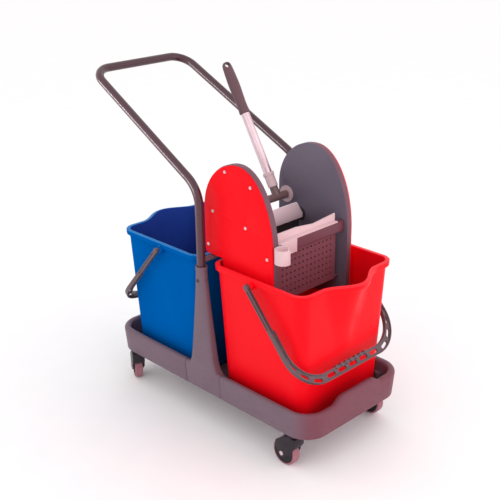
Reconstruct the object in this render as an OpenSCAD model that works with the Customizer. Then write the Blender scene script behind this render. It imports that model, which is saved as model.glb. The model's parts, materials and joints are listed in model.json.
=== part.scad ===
// Double mop bucket trolley with a lever wringer over the front bucket.
// Millimetres, +Z up, +X towards the wringer end, origin on the floor under the middle of the whole trolley.

/* [Base] */
// Length of the base outline at its underside
base_len = 830; // [790:5:900]
// Width of the base outline at its underside
base_w = 412; // [406:1:440]
// Height of the base underside above the floor
base_z = 107; // [104:1:130]
// Height of the tray walls
wall_h = 77; // [60:1:100]
// Outward lean of the tray walls over their height
wall_flare = 6; // [0:1:10]
// Thickness of the tray walls
wall_t = 22; // [14:1:24]
// Plan radius of the base corners
corner_r = 70; // [50:1:90]
// Thickness of the tray floors
floor_t = 14; // [10:1:20]
// Length of the centre frame between the two seams
centre_len = 148; // [130:2:160]
// Extra height of the raised middle of each end wall
end_rise = 20; // [5:1:30]
// Length of the raised middle along its top
end_top = 140; // [100:5:180]
// Length of each ramp beside the raised middle
end_ramp = 25; // [10:1:40]

/* [Pillars] */
// Distance of the pillar axes from the middle plane
pillar_y = 200; // [196:1:210]
// Height of the pillar tops above the floor
pillar_z = 508; // [480:1:530]
// Diameter of the pillar collar
collar_d = 34; // [33.5:0.5:42]
// Height of the pillar collar
collar_h = 15; // [10:1:25]
// Depth of the pillar foot across the trolley
foot_depth = 34; // [30:1:34]
// Narrowing of each pillar side per millimetre of height
pillar_taper = 0.104; // [0.05:0.002:0.11]
// Depth of the handle sockets in the pillars
socket_depth = 90; // [60:1:120]

/* [Push handle] */
// Outside diameter of the handle tube
tube_d = 25; // [20:0.5:28]
// Wall of the handle tube
tube_wall = 1.5; // [1:0.1:2.5]
// Height at which the legs would meet the slanted part
bend_z = 731; // [710:1:780]
// Backward reach of the handle bar axis
handle_run = 492; // [460:2:520]
// Height of the handle bar axis
bar_z = 988; // [960:1:1040]
// Half length of the handle bar to the corner axes
bar_half = 176; // [150:1:195]
// Radius of the lower bends
low_bend_r = 88; // [60:1:110]
// Radius of the upper bends
top_bend_r = 60; // [40:1:90]
// Diameter of the cross bar that carries the wringer
cross_d = 16; // [12:0.5:20]

/* [Casters] */
// Wheel diameter
wheel_d = 80; // [70:1:80]
// Wheel width
wheel_w = 26; // [20:1:28]
// Distance of the swivel axes from the trolley's middle, along
caster_x = 344; // [335:1:350]
// Distance of the swivel axes from the trolley's middle, across
caster_y = 186; // [180:1:188]
// Trail of the wheel axle behind the swivel axis
trail = 25; // [20:1:32]
// Diameter of the caster stem
stem_d = 10; // [8:0.5:12]
// Diameter of the wheel axle
axle_d = 8; // [6:0.5:10]
// How far the rear casters stand turned at rest
rear_turn = -30; // [-60:5:60]

/* [Buckets] */
// Height of the bucket rims above the floor
rim_z = 520; // [505:1:540]
// Distance from the middle of the pillars to a bucket rim
rim_gap = 25; // [24:1:32]
// Length of a bucket rim without its spout
rim_len = 355; // [340:1:365]
// Width of a bucket rim
rim_w = 390; // [380:1:390]
// Plan radius of the bucket corners
bucket_r = 40; // [36:1:50]
// Overhang of the rim lip past the wall
rim_lip = 9; // [6:0.5:10]
// Depth of the rim lip
rim_h = 14; // [10:1:18]
// Narrowing of a bucket wall from lip to floor
bucket_taper = 18; // [14:1:24]
// Bucket wall thickness
bucket_wall = 3.5; // [2.5:0.5:5]
// Reach of the spout past the rim
spout_reach = 48; // [30:1:50]
// Half width of the spout at the rim
spout_half = 113; // [90:1:120]
// Depth over which the spout fades into the wall
spout_depth = 230; // [150:5:300]

/* [Bails] */
// Distance of the bail pivots from the middle of the pillars
bail_x = 190; // [180:1:200]
// Drop of the bail pivots below the rim top
bail_drop = 18; // [17:1:24]
// Reach of the bail from its pivot
bail_reach = 322; // [305:1:330]
// Width of the bail band at its middle
bail_w = 26; // [22:1:30]
// Width of the bail band at its sides
bail_side_w = 16; // [14:1:18]
// Width of the bail arms
arm_w = 10; // [9:1:12]
// Length of the arms before the band widens
arm_len = 134; // [110:1:140]
// Depth of the bail's edge flanges
bail_t = 13; // [11:1:14]
// Thickness of the bail's pierced web
bail_web = 5; // [3:0.5:6]
// Outer corner radius of the bail
bail_r = 105; // [90:1:110]
// How far the bails hang below level at rest
bail_hang = 49; // [46:1:52]
// Diameter of the bail pins
bail_pin = 10; // [8:0.5:12]

/* [Wringer] */
// Height of the wringer shoulders above the bucket rim
rest_rise = 10; // [8:1:20]
// Distance between the inner faces of the wringer walls
press_w = 280; // [270:2:284]
// Thickness of a wringer wall
wr_wall = 17; // [16:0.5:18]
// Thickness of the web behind the gear pocket
wr_web = 7; // [6:0.5:8]
// Thickness of a cover
cover_t = 5; // [4:0.5:6]
// Height of the wall crowns above the shoulders
crown_rise = 283; // [270:1:300]
// Length of the walls in front of their lower back edge
wr_len = 199; // [195:1:205]
// Overhang of the shoulders behind the cross bar
shoulder = 24; // [20:1:24]
// Depth of the walls below the shoulders
wr_depth = 164; // [163:1:175]
// Height of the lever shaft above the shoulders
shaft_rise = 110; // [106:1:114]
// Height of the jaw pivot above the shoulders
jaw_rise = 62; // [60:1:66]
// Reach of the jaw below its pivot
jaw_reach = 200; // [190:1:202]
// Diameter of the perforations
hole_d = 6.6; // [5:0.2:8]
// Spacing of the perforations across
hole_dx = 16.5; // [15:0.5:18]
// Spacing of the perforations up and down
hole_dz = 18; // [16:0.5:19]
// Columns of perforations
hole_cols = 13; // [9:1:13]
// Rows of perforations in the front grille
hole_rows = 7; // [4:1:7]
// Height of the front rail
rail_h = 32; // [26:1:36]
// Height of the white lip above the rail
lip_h = 26; // [20:1:36]
// Inside radius of the mop-handle clip
clip_r = 18.5; // [14:0.5:20]
// Height of the mop-handle clip
clip_h = 41; // [30:1:46]

/* [Lever and gears] */
// Diameter of the lever's cross shaft
shaft_d = 24; // [20:0.5:25]
// Diameter of the jaw shaft
jaw_shaft_d = 16; // [12:0.5:18]
// Teeth in a full lever gear
lever_teeth = 15; // [15:1:16]
// Teeth in a full jaw gear
jaw_teeth = 25; // [24:1:25]
// Thickness of the gears
gear_t = 8; // [6:0.5:8]
// Where the lever stands across the trolley
lever_y = 98; // [60:1:104]
// How far the lever leans back at rest
lever_lean = 30; // [25:1:35]
// Length of the lever from its shaft to the grip end
lever_len = 427; // [400:1:440]
// Length of the grip
grip_len = 164; // [140:1:180]
// Diameter of the lever tube
lever_d = 26; // [24:0.5:28]

/* [Hidden] */
$fn = 48;
// Facets round each lofted ring
loft_sides = 32;
// Running clearance of shafts and pins
run_gap = 0.05;
// Gap between pieces that rest on each other
seat_gap = 0.3;
// Room for pieces that pass each other
pass_gap = 1;
// Past-the-face length of cutters
eps = 1;

// Places along the trolley, measured from the middle of the pillars
rear_reach = handle_run + tube_d / 2;
front_reach = rim_gap + rim_len + spout_reach;
pillar_x = (rear_reach - front_reach) / 2;

// Heights
wall_z = base_z + wall_h;
bucket_z = base_z + floor_t + seat_gap;
bucket_h = rim_z - bucket_z;
bail_z = rim_z - bail_drop;
rest_z = rim_z + rest_rise;
cross_z = rest_z - seat_gap - cross_d / 2;

// Push handle
handle_drop = bar_z - bend_z;
slant_len = norm([handle_run, pillar_y - bar_half, handle_drop]);
slant_flat = norm([handle_run, handle_drop]);
low_turn = acos(handle_drop / slant_len);
plane_turn = atan2(handle_run, handle_drop);
low_azimuth = -atan2(pillar_y - bar_half, handle_run);
taper_turn = atan2(pillar_y - bar_half, slant_flat);
top_turn = 90 - taper_turn;
low_tangent = low_bend_r * tan(low_turn / 2);
top_tangent = top_bend_r * tan(top_turn / 2);
bend_step = 0.1;
run_in = 2;

// Swell of a slot's round ends past its straight sides
slot_swell = 0.2;

// Pillars
pillar_n = 11;
pillar_fillet = 22;
fillet_height = 16;
seam_room = 1;
collar_lip = 1;
collar_lap = 2;
foot_out = base_w / 2 + wall_flare + 0.8;
foot_half = 60;
screw_z = pillar_z - collar_h - 28;
screw_seat = collar_d / 2 - 2;
screw_in = screw_seat - tube_d / 2 - 0.5;

// Casters
axle_z = wheel_d / 2;
fork_t = 4;
fork_gap = 2;
fork_in = wheel_w / 2 + fork_gap;
fork_out = fork_in + fork_t;
fork_front = 22;
hood_r = wheel_d / 2 + 4;
tyre_t = 5.5;
crown_r = 19;
crown_z = base_z - 4;
crown_h = 15;
boss_r = 13;
boss_h = 42;
stem_low = crown_z - crown_h - 3;
stem_top = base_z + boss_h - 7;

// Bucket spout
spout_narrow = 0.35;
spout_steps = 10;
corner_steps = 5;
side_steps = 4;
wall_bulge = 1.5;

// Bail, in its own plane: reach and half widths
ear_r = 12;
ear_out = rim_w / 2 + 7.5;
arm_in = ear_out + pass_gap;
bail_half = arm_in + arm_w;
flange_t = 3;
slot_w = 11;
slot_len = 32;
slot_pitch = 45;
slot_count = 5;
side_slot_w = 7;
eye_d = bail_t + 3;
groove_w = 7;
groove_depth = 2;
bump_r = 6;
bump_pitch = 20;
bump_count = 7;

// Wringer: its lower back edge stands just inside the bucket's end wall
wr_x = rim_gap + rim_lip + bucket_wall + 8.5;
wr_front = wr_x + wr_len;
press_half = press_w / 2;
wall_out = press_half + wr_wall;
cover_out = wall_out + cover_t;
crown_x = wr_x + 64;
left_spring = rest_z + 138;
right_spring = rest_z + 50;
shoulder_r = 16;
lower_r = 40;
back_draft = 6;
arch_steps = 20;
cover_inset = 2;
shaft_x = wr_x - 37;
shaft_z = rest_z + shaft_rise;
jaw_x = wr_x + 16;
jaw_z = rest_z + jaw_rise;

// Press basket
sheet_t = 4;
floor_gap = 13;
floor_r = jaw_reach + floor_gap;
grille_x = jaw_x + 153;
grille_half = 120;
floor_end = acos((grille_x + sheet_t - jaw_x) / (floor_r + sheet_t));
grille_z = jaw_z - (floor_r + sheet_t) * sin(floor_end);
rail_x = grille_x + sheet_t;
rail_t = 15;
rail_z = rest_z + 51;
grille_top = rail_z + rail_h - 4;
drip = 8;
back_top = rest_z - 8;

// White lip and clip
lip_t = 4;
lip_near = 4 - press_half;
lip_far = 110;
lip_low = 8;
tab_far = -62;
tab_drop = 36;
clip_t = 3.5;
clip_y = -150;
clip_z = rail_z + rail_h - tab_drop;
clip_start = 85;
clip_turn = 285;

// Gears
gear_span = norm([shaft_x - jaw_x, shaft_z - jaw_z]);
gear_turn = atan2(jaw_z - shaft_z, jaw_x - shaft_x);
gear_module = 2 * gear_span / (lever_teeth + jaw_teeth);
pressure = 20;
backlash = 0.5;
gear_in = press_half + wr_web + pass_gap;
pocket_gap = 2;
pocket_rim = 3;
hub_r = 18;
jaw_hub_r = 15;

// Bushings
bush_t = 4;
bush_room = 2 * bush_t + 2 * run_gap;
bush_flange = 9;
flange_h = 4;

// Lever, along it from the shaft axis
stub_len = 52;
ferrule_start = 32;
ferrule_len = 44;
ferrule_t = 2;
tube_start = stub_len + seat_gap;
grip_start = lever_len - grip_len;
grip_bore = 30;
tube_end = grip_start + grip_bore - seat_gap;
hang_d = 15;
hang_in = 11.5;
hang_turn = -26;

// Jaw
jaw_half = press_half - flange_h - 2;
jaw_hub_out = jaw_shaft_d / 2 + 4;
jaw_t = 5;
jaw_lip_x = jaw_hub_out + seat_gap;
jaw_lip_t = 4;
jaw_lip_up = 45;
jaw_lip_down = 8;
jaw_chamfer = 24;

// Screws
screw_d = 4;
head_d = 9;
head_h = 2.6;
cover_screws_at = [
    [crown_x - 44, rest_z + 257],
    [crown_x + 53, rest_z + 234],
    [wr_x - 54, rest_z + 31],
    [wr_x + 178, rest_z + 48],
    [wr_x - 32, rest_z + 134],
    [wr_x + 97, rest_z + 116]
];
guard_boss_r = 4.5;

// Colours
grey = [0.43, 0.38, 0.43];
dark_grey = [0.3, 0.26, 0.29];
red = [0.93, 0.07, 0.12];
blue = [0.0, 0.38, 0.7];
white = [0.93, 0.87, 0.88];
black = [0.1, 0.09, 0.1];
alu = [0.82, 0.8, 0.81];
steel = [0.6, 0.58, 0.58];

// Shared frames and helpers

// Moves from the middle of the pillars to the origin of the whole trolley
module at_pillar() {
    translate([pillar_x, 0, 0]) children();
}

// The same shape on both sides of the middle plane
module both_sides() {
    for (s = [0, 1]) mirror([0, s, 0]) children();
}

// Extrudes a drawing in x and z across the trolley, from y0 to y1
module across(y0, y1) {
    translate([0, y1, 0]) rotate([90, 0, 0]) linear_extrude(y1 - y0) children();
}

// A solid skin over rings of points that all have the same count
module skin(rings) {
    n = len(rings[0]);
    m = len(rings);
    last = (m - 1) * n;
    sides = [for (j = [0:m - 2], i = [0:n - 1])
        let (a = j * n + i, b = j * n + (i + 1) % n)
        each [[a, a + n, b + n], [a, b + n, b]]];
    bottom = [for (i = [1:n - 2]) [0, i, i + 1]];
    top = [for (i = [1:n - 2]) [last, last + i + 1, last + i]];
    polyhedron(points = [for (r = rings) each r], faces = concat(sides, bottom, top));
}

// A round pin along y
module pin_y(d, y0, y1) {
    translate([0, y1, 0]) rotate([90, 0, 0]) cylinder(d = d, h = y1 - y0);
}

// A rounded slot in a drawing
module slot(l, w) {
    square([l - w, w], center = true);
    for (s = [-1, 1]) translate([s * (l - w) / 2, 0]) circle(d = w + slot_swell);
}

// Base mouldings

// Section of a tray wall: x outwards from the base outline, y up from its underside
module wall_section(extra = 0) {
    r = wall_t / 2;
    top = wall_h - r + extra;
    polygon([[-wall_t, 0], [0, 0], [wall_flare, top], [wall_flare - wall_t, top]]);
    translate([wall_flare - r, top]) circle(r);
}

module side_wall(x0, x1) {
    translate([x0, base_w / 2, base_z]) rotate([90, 0, 90]) linear_extrude(x1 - x0) wall_section();
}

module corner_wall() {
    translate([base_len / 2 - corner_r, base_w / 2 - corner_r, base_z])
        rotate_extrude(angle = 90) translate([corner_r, 0]) wall_section();
}

module end_wall(half, extra = 0) {
    translate([base_len / 2, half, base_z]) rotate([90, 0, 0]) linear_extrude(2 * half) wall_section(extra);
}

// The raised middle of an end wall, with its ramps
module raised_end() {
    foot = end_top / 2 + end_ramp;
    low = wall_h - wall_t / 2;
    intersection() {
        end_wall(foot, end_rise);
        translate([base_len / 2 - wall_t - eps, 0, base_z]) rotate([90, 0, 90])
            linear_extrude(wall_t + wall_flare + 2 * eps)
                polygon([[-foot, 0], [foot, 0], [foot, low], [end_top / 2, wall_h + end_rise],
                         [-end_top / 2, wall_h + end_rise], [-foot, low]]);
    }
}

module tray_floor() {
    inset = wall_t / 2;
    side = base_w / 2 - inset;
    end = base_len / 2 - inset;
    r = corner_r - inset;
    translate([0, 0, base_z]) linear_extrude(floor_t) {
        translate([centre_len / 2, -side]) square([end - r - centre_len / 2, 2 * side]);
        translate([centre_len / 2, r - side]) square([end - centre_len / 2, 2 * (side - r)]);
        for (s = [-1, 1]) translate([end - r, s * (side - r)]) circle(r);
    }
}

module end_tray() {
    difference() {
        union() {
            tray_floor();
            both_sides() {
                side_wall(centre_len / 2, base_len / 2 - corner_r);
                corner_wall();
                translate([caster_x, caster_y, base_z]) cylinder(r = boss_r, h = boss_h);
            }
            end_wall(base_w / 2 - corner_r);
            raised_end();
        }
        for (s = [-1, 1]) translate([caster_x, s * caster_y, base_z - eps])
            cylinder(d = stem_d + 2 * run_gap, h = boss_h - 6 + eps);
    }
}

module front_tray() {
    color(grey) at_pillar() end_tray();
}

module rear_tray() {
    color(grey) at_pillar() mirror([1, 0, 0]) end_tray();
}

// Centre frame with its pillars

// Outline of the pillar at share t of its height, squarish at the foot and round at the collar
function pillar_ring(t) =
    let (z0 = wall_z - wall_t / 2,
         z1 = pillar_z - collar_h + collar_lap,
         z = z0 + (z1 - z0) * t,
         top_r = collar_d / 2 - collar_lip,
         spread = top_r + pillar_taper * (z1 - z) + pillar_fillet * exp(-(z - z0) / fillet_height),
         a = min(spread, centre_len / 2 - seam_room),
         b = foot_depth / 2 + (top_r - foot_depth / 2) * t,
         y = pillar_y + (1 - t) * (foot_out - foot_depth / 2 - pillar_y),
         n = 2 + 4 * pow(1 - t, 2))
    [for (i = [0:loft_sides - 1])
        let (q = 360 * i / loft_sides, c = cos(q), s = sin(q))
        [a * sign(c) * pow(abs(c), 2 / n), y + b * sign(s) * pow(abs(s), 2 / n), z]];

module pillar() {
    skin([for (k = [0:pillar_n]) pillar_ring(pow(k / pillar_n, 1.5))]);
    translate([0, pillar_y, pillar_z - collar_h]) cylinder(d = collar_d, h = collar_h);
    translate([-foot_half, foot_out - foot_depth + 1.5, base_z + floor_t - eps])
        cube([2 * foot_half, foot_depth / 2, wall_h - wall_t / 2 - floor_t + 5]);
}

// Two screws hold the tube: one on the outside of the pillar and one facing the wringer
module at_handle_screws() {
    both_sides() translate([0, pillar_y, screw_z]) {
        translate([0, screw_seat, 0]) rotate([-90, 0, 0]) children();
        translate([screw_seat + 1, 0, 0]) rotate([0, 90, 0]) children();
    }
}

module centre_frame() {
    color(grey) at_pillar() difference() {
        union() {
            translate([-centre_len / 2, wall_t / 2 - base_w / 2, base_z])
                cube([centre_len, base_w - wall_t, floor_t]);
            both_sides() {
                side_wall(-centre_len / 2, centre_len / 2);
                pillar();
            }
        }
        for (s = [-1, 1]) translate([0, s * pillar_y, pillar_z - socket_depth])
            cylinder(d = tube_d + 2 * run_gap, h = socket_depth + eps);
        at_handle_screws() {
            translate([0, 0, -screw_in]) cylinder(d = screw_d + 2 * run_gap, h = screw_in + eps);
            cylinder(d = head_d + 2 * pass_gap, h = head_h + 2 * eps);
        }
    }
}

module handle_screws() {
    color(steel) at_pillar() at_handle_screws() {
        translate([0, 0, 0.5 - screw_in]) cylinder(d = screw_d, h = screw_in - 0.5 + head_h / 2);
        cylinder(d = head_d, h = head_h);
    }
}

// Push handle

// One leg, on the right side: straight out of its socket, bent back, slanted and bent into the bar.
// The bends are a hair thicker than the runs (or thinner, for the bore), and the runs reach into them.
module handle_leg(d, bend_d, foot_z) {
    translate([0, -pillar_y, foot_z]) cylinder(d = d, h = bend_z - low_tangent - foot_z + run_in);
    translate([0, -pillar_y, bend_z - low_tangent]) rotate([0, 0, low_azimuth])
        translate([-low_bend_r, 0, 0]) rotate([90, 0, 0])
            rotate_extrude(angle = low_turn) translate([low_bend_r, 0]) circle(d = bend_d);
    translate([0, 0, bend_z]) rotate([0, -plane_turn, 0]) {
        translate([0, -pillar_y, 0]) rotate([-taper_turn, 0, 0]) translate([0, 0, low_tangent - run_in])
            cylinder(d = d, h = slant_len - low_tangent - top_tangent + 2 * run_in);
        translate([0, -bar_half, slant_flat]) rotate([-taper_turn, 0, 0])
            translate([0, top_bend_r, -top_tangent]) rotate([90, 0, -90])
                rotate_extrude(angle = top_turn) translate([top_bend_r, 0]) circle(d = bend_d);
    }
}

module handle_form(d, bend_d, foot_z) {
    both_sides() handle_leg(d, bend_d, foot_z);
    half = bar_half - top_tangent + run_in;
    translate([-handle_run, 0, bar_z]) pin_y(d, -half, half);
}

module push_handle() {
    foot_z = pillar_z - socket_depth + seat_gap;
    bore = tube_d - 2 * tube_wall;
    color(dark_grey) at_pillar() difference() {
        handle_form(tube_d, tube_d + bend_step, foot_z);
        handle_form(bore, bore - bend_step, foot_z - eps);
    }
}

// The bar's ends are coped to the handle legs
module cross_bar() {
    color(grey) at_pillar() difference() {
        translate([0, 0, cross_z]) pin_y(cross_d, -pillar_y, pillar_y);
        for (s = [-1, 1]) translate([0, s * pillar_y, cross_z - cross_d])
            cylinder(d = tube_d + 2 * run_gap, h = 2 * cross_d);
    }
}

// Casters: each module is drawn at the swivel axis with the wheel trailing towards -x

module caster_stem() {
    color(steel) {
        translate([0, 0, stem_low]) cylinder(d = stem_d, h = stem_top - stem_low);
        translate([0, 0, base_z - 3]) cylinder(d = stem_d + 12, h = 3);
        translate([0, 0, stem_low - 3]) cylinder(d = stem_d + 6, h = 3);
    }
}

// Side of the fork: broad under the crown, cut back over the wheel's rear and rounded below the axle
module cheek_shape() {
    top = crown_z - 4;
    translate([-trail, axle_z]) circle(r = 15);
    polygon([[-trail - 14, axle_z - 5], [-trail + 14, axle_z - 5], [8, axle_z + 6], [12, axle_z + 20],
             [fork_front, axle_z + 36], [fork_front, top], [-16, top], [-trail - 25, axle_z + 33],
             [-trail - 28, axle_z + 18]]);
}

// The cheeks are joined over the front of the wheel, and the wheel's room is cut out between them
module caster_fork() {
    color(black) difference() {
        union() {
            across(-fork_out, fork_out) cheek_shape();
            translate([0, 0, crown_z - crown_h]) cylinder(r = crown_r, h = crown_h);
        }
        translate([0, 0, crown_z - crown_h - eps]) cylinder(d = stem_d + 2 * run_gap, h = crown_h + 2 * eps);
        translate([0, 0, axle_z]) cylinder(d = stem_d + 8, h = crown_z - crown_h - axle_z);
        translate([-trail, 0, axle_z]) {
            pin_y(axle_d + 2 * run_gap, -2 * fork_out, 2 * fork_out);
            pin_y(2 * hood_r, -fork_in, fork_in);
        }
    }
}

module caster_axle() {
    half = fork_out;
    color(steel) translate([-trail, 0, axle_z]) {
        pin_y(axle_d, -half - 1, half + 1);
        for (s = [-1, 1]) translate([0, s * (half + 1.6), 0]) pin_y(axle_d + 5, -1.5, 1.5);
    }
}

module caster_hub() {
    half = wheel_w / 2;
    rim = wheel_d / 2 - tyre_t;
    color(black) translate([-trail, 0, axle_z]) rotate([90, 0, 0]) rotate_extrude()
        polygon([[axle_d / 2 + run_gap, -half - 1], [11, -half - 1], [11, -half + 4], [rim - 7, -half + 4],
                 [rim - 4, -half + 1], [rim, -half + 1], [rim, half - 1], [rim - 4, half - 1],
                 [rim - 7, half - 4], [11, half - 4], [11, half + 1], [axle_d / 2 + run_gap, half + 1]]);
}

module caster_tyre() {
    half = wheel_w / 2;
    crown = 5;
    r = wheel_d / 2;
    color(alu) translate([-trail, 0, axle_z]) rotate([90, 0, 0]) rotate_extrude() difference() {
        union() {
            translate([r - tyre_t, -half]) square([tyre_t - crown, 2 * half]);
            translate([r - crown, crown - half]) square([crown, 2 * (half - crown)]);
            for (s = [-1, 1]) translate([r - crown, s * (half - crown)]) circle(r = crown);
        }
        translate([r - tyre_t - 10, -half - eps]) square([10, 2 * half + 2 * eps]);
    }
}

// Places a caster by its end and side
module at_caster(end, side, turn) {
    at_pillar() translate([end * caster_x, side * caster_y, 0]) rotate([0, 0, turn]) children();
}

// Buckets

// Outline of a bucket, drawn in by o from the rim, with share f of the spout and slightly bowed sides.
// The inner end of the rim is at x = 0.
function spout_bump(y, f) =
    let (half = spout_half * (spout_narrow + (1 - spout_narrow) * f))
    abs(y) < half ? spout_reach * f * (0.5 + 0.5 * cos(180 * y / half)) : 0;

function arc_points(cx, cy, r, start, steps) =
    [for (i = [1:steps]) let (q = start + 90 * i / corner_steps) [cx + r * cos(q), cy + r * sin(q)]];

function bucket_plan(o, f) =
    let (w = rim_w / 2 - o,
         r = bucket_r - o / 2,
         b = wall_bulge,
         xa = o + b + r,
         xb = rim_len - o - b - r,
         flat = w - b - r,
         xm = (xa + xb) / 2,
         xh = (xb - xa) / 2,
         front = [for (i = [-spout_steps:spout_steps])
             let (t = i / spout_steps) [rim_len - o - b * t * t + spout_bump(flat * t, f), flat * t]],
         run = [for (i = [1:side_steps]) 1 - 2 * i / side_steps])
    concat(front, arc_points(xb, flat, r, 0, corner_steps),
           [for (t = run) [xm + t * xh, w - b * t * t]], arc_points(xa, flat, r, 90, corner_steps),
           [for (t = run) [o + b * t * t, t * flat]], arc_points(xa, -flat, r, 180, corner_steps),
           [for (t = run) [xm - t * xh, b * t * t - w]], arc_points(xb, -flat, r, 270, corner_steps - 1));

function spout_share(z) = pow(max(0, 1 - (bucket_h - z) / spout_depth), 1.2);
function wall_draw(z) = rim_lip + bucket_taper * pow((bucket_h - z) / bucket_h, 1.1);
function bucket_ring(o, z) = [for (p = bucket_plan(o, spout_share(z))) [p[0], p[1], z]];

module bucket_shell() {
    heights = [for (s = [0, 0.4, 0.56, 0.68, 0.8, 0.9]) s * bucket_h];
    foot = 6;
    outer = concat(
        [bucket_ring(wall_draw(0) + foot, 0)],
        [bucket_ring(wall_draw(foot), foot)],
        [for (z = heights) if (z > foot) bucket_ring(wall_draw(z), z)],
        [bucket_ring(rim_lip, bucket_h - rim_h)]);
    lip = [bucket_ring(2, bucket_h - rim_h), bucket_ring(0, bucket_h - rim_h + 3),
           bucket_ring(0, bucket_h - 4), bucket_ring(3, bucket_h), bucket_ring(rim_lip - 1, bucket_h)];
    inner = concat(
        [bucket_ring(rim_lip + bucket_wall, bucket_h - 5)],
        [for (i = [len(heights) - 1:-1:1]) bucket_ring(wall_draw(heights[i]) + bucket_wall, heights[i])],
        [bucket_ring(wall_draw(foot) + bucket_wall + 1, foot + bucket_wall + 4)],
        [bucket_ring(wall_draw(0) + bucket_wall + foot + 2, bucket_wall + 1)]);
    skin(concat(outer, lip, inner));
}

// Bail ears stand out from the side walls under the rim
module bucket() {
    ear_x = bail_x - rim_gap;
    ear_z = bucket_h - bail_drop;
    root = rim_w / 2 - wall_draw(ear_z) - bucket_wall + 0.5;
    difference() {
        union() {
            bucket_shell();
            both_sides() translate([ear_x, 0, ear_z]) pin_y(2 * ear_r, root, ear_out);
        }
        both_sides() translate([ear_x, 0, ear_z]) pin_y(bail_pin + 2 * run_gap, root + 4, ear_out + eps);
    }
}

module red_bucket() {
    color(red) at_pillar() translate([rim_gap, 0, bucket_z]) bucket();
}

module blue_bucket() {
    color(blue) at_pillar() mirror([1, 0, 0]) translate([rim_gap, 0, bucket_z]) bucket();
}

// Bails, drawn flat with x the reach from the pivots

// A U of the bail: half width, reach and corner radius
module bail_u(half, reach, r) {
    translate([0, -half]) square([reach - r, 2 * half]);
    translate([0, r - half]) square([reach, 2 * (half - r)]);
    for (s = [-1, 1]) translate([reach - r, s * (half - r)]) circle(r);
}

// The band and arms, drawn in by d from their edges
module bail_band(d) {
    in_half = bail_half - bail_side_w;
    difference() {
        union() {
            intersection() {
                bail_u(bail_half - d, bail_reach - d, bail_r - d);
                translate([arm_len + d, -bail_half]) square([bail_reach, 2 * bail_half]);
            }
            for (s = [-1, 1]) translate([0, s * (bail_half - arm_w / 2)]) translate([0, d - arm_w / 2])
                square([arm_len + 2 * d + 0.1, arm_w - 2 * d]);
        }
        bail_u(in_half + d, bail_reach - bail_w + d, bail_r - bail_side_w + d);
    }
    for (s = [-1, 1]) translate([0, s * (bail_half - arm_w / 2)]) translate([0, d - arm_w / 2])
        square([arm_len + 2 * d + 0.1, arm_w - 2 * d]);
}

module bail_slots() {
    mid = bail_reach - bail_w / 2;
    r = bail_r - (bail_w + bail_side_w) / 4;
    cx = bail_reach - bail_r;
    cy = bail_half - bail_r;
    for (i = [0:slot_count - 1]) translate([mid, (i - (slot_count - 1) / 2) * slot_pitch])
        rotate(90) slot(slot_len, slot_w);
    for (s = [-1, 1], q = [20, 47, 73]) translate([cx, s * cy]) rotate(s * q)
        translate([r + (45 - q) * 0.04, 0]) rotate(90) slot(slot_len - q / 9, slot_w - q / 26);
    for (s = [-1, 1], x = [cx - 11, cx - 47]) translate([x, s * (bail_half - bail_side_w / 2)])
        slot(slot_len - 8, side_slot_w);
}

module bail_flat() {
    translate([0, 0, -bail_web / 2]) linear_extrude(bail_web) difference() {
        bail_band(0);
        bail_slots();
    }
    translate([0, 0, -bail_t / 2]) linear_extrude(bail_t) difference() {
        bail_band(0);
        bail_band(flange_t);
    }
    for (i = [0:bump_count - 1])
        translate([bail_reach - bail_w + 2, (i - (bump_count - 1) / 2) * bump_pitch, -bail_t / 2])
            cylinder(r = bump_r, h = bail_t);
    both_sides() {
        pin_y(eye_d, arm_in, bail_half);
        pin_y(bail_pin, arm_in - (ear_out - rim_w / 2) - 8, arm_in + eps);
    }
}

// A groove down the outside makes a channel of each arm
module bail() {
    translate([bail_x, 0, bail_z]) rotate([0, bail_hang, 0]) difference() {
        bail_flat();
        both_sides() translate([eye_d / 2 + 2, bail_half - groove_depth, -groove_w / 2])
            cube([arm_len - eye_d / 2 - 8, groove_depth + eps, groove_w]);
    }
}

module red_bail() {
    color(dark_grey) at_pillar() bail();
}

module blue_bail() {
    color(dark_grey) at_pillar() mirror([1, 0, 0]) bail();
}

// Wringer walls and covers

// A quarter of an ellipse from angle a0 to a1
function ellipse_arc(cx, cz, rx, rz, a0, a1) =
    [for (i = [0:arch_steps]) let (q = a0 + (a1 - a0) * i / arch_steps) [cx + rx * cos(q), cz + rz * sin(q)]];

// Back of the walls and the basket at height z, leaning with the bucket's end wall
function wr_back(z) = wr_x + back_draft * (rest_z - z) / wr_depth;

// Outline of a wall in x and z, drawn in by d: an arch over the basket with a shoulder on the cross bar
function wall_outline(d) =
    let (back = -shoulder + d,
         front = wr_front - d,
         crown = rest_z + crown_rise - d,
         low = rest_z - wr_depth + d,
         foot = rest_z + d,
         sr = shoulder_r - d,
         lr = lower_r - d)
    concat(
        ellipse_arc(crown_x, right_spring, front - crown_x, crown - right_spring, 0, 90),
        ellipse_arc(crown_x, left_spring, crown_x - back, crown - left_spring, 90, 180),
        ellipse_arc(back + sr, foot + sr, sr, sr, 180, 270),
        [[wr_x + d, foot], [wr_back(low) + d, low]],
        ellipse_arc(front - lr, low + lr, lr, lr, 270, 360));

module gear_pocket() {
    translate([shaft_x, shaft_z]) circle(r = gear_tip(lever_teeth) + pocket_gap);
    translate([jaw_x, jaw_z]) circle(r = gear_tip(jaw_teeth) + pocket_gap);
}

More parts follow.
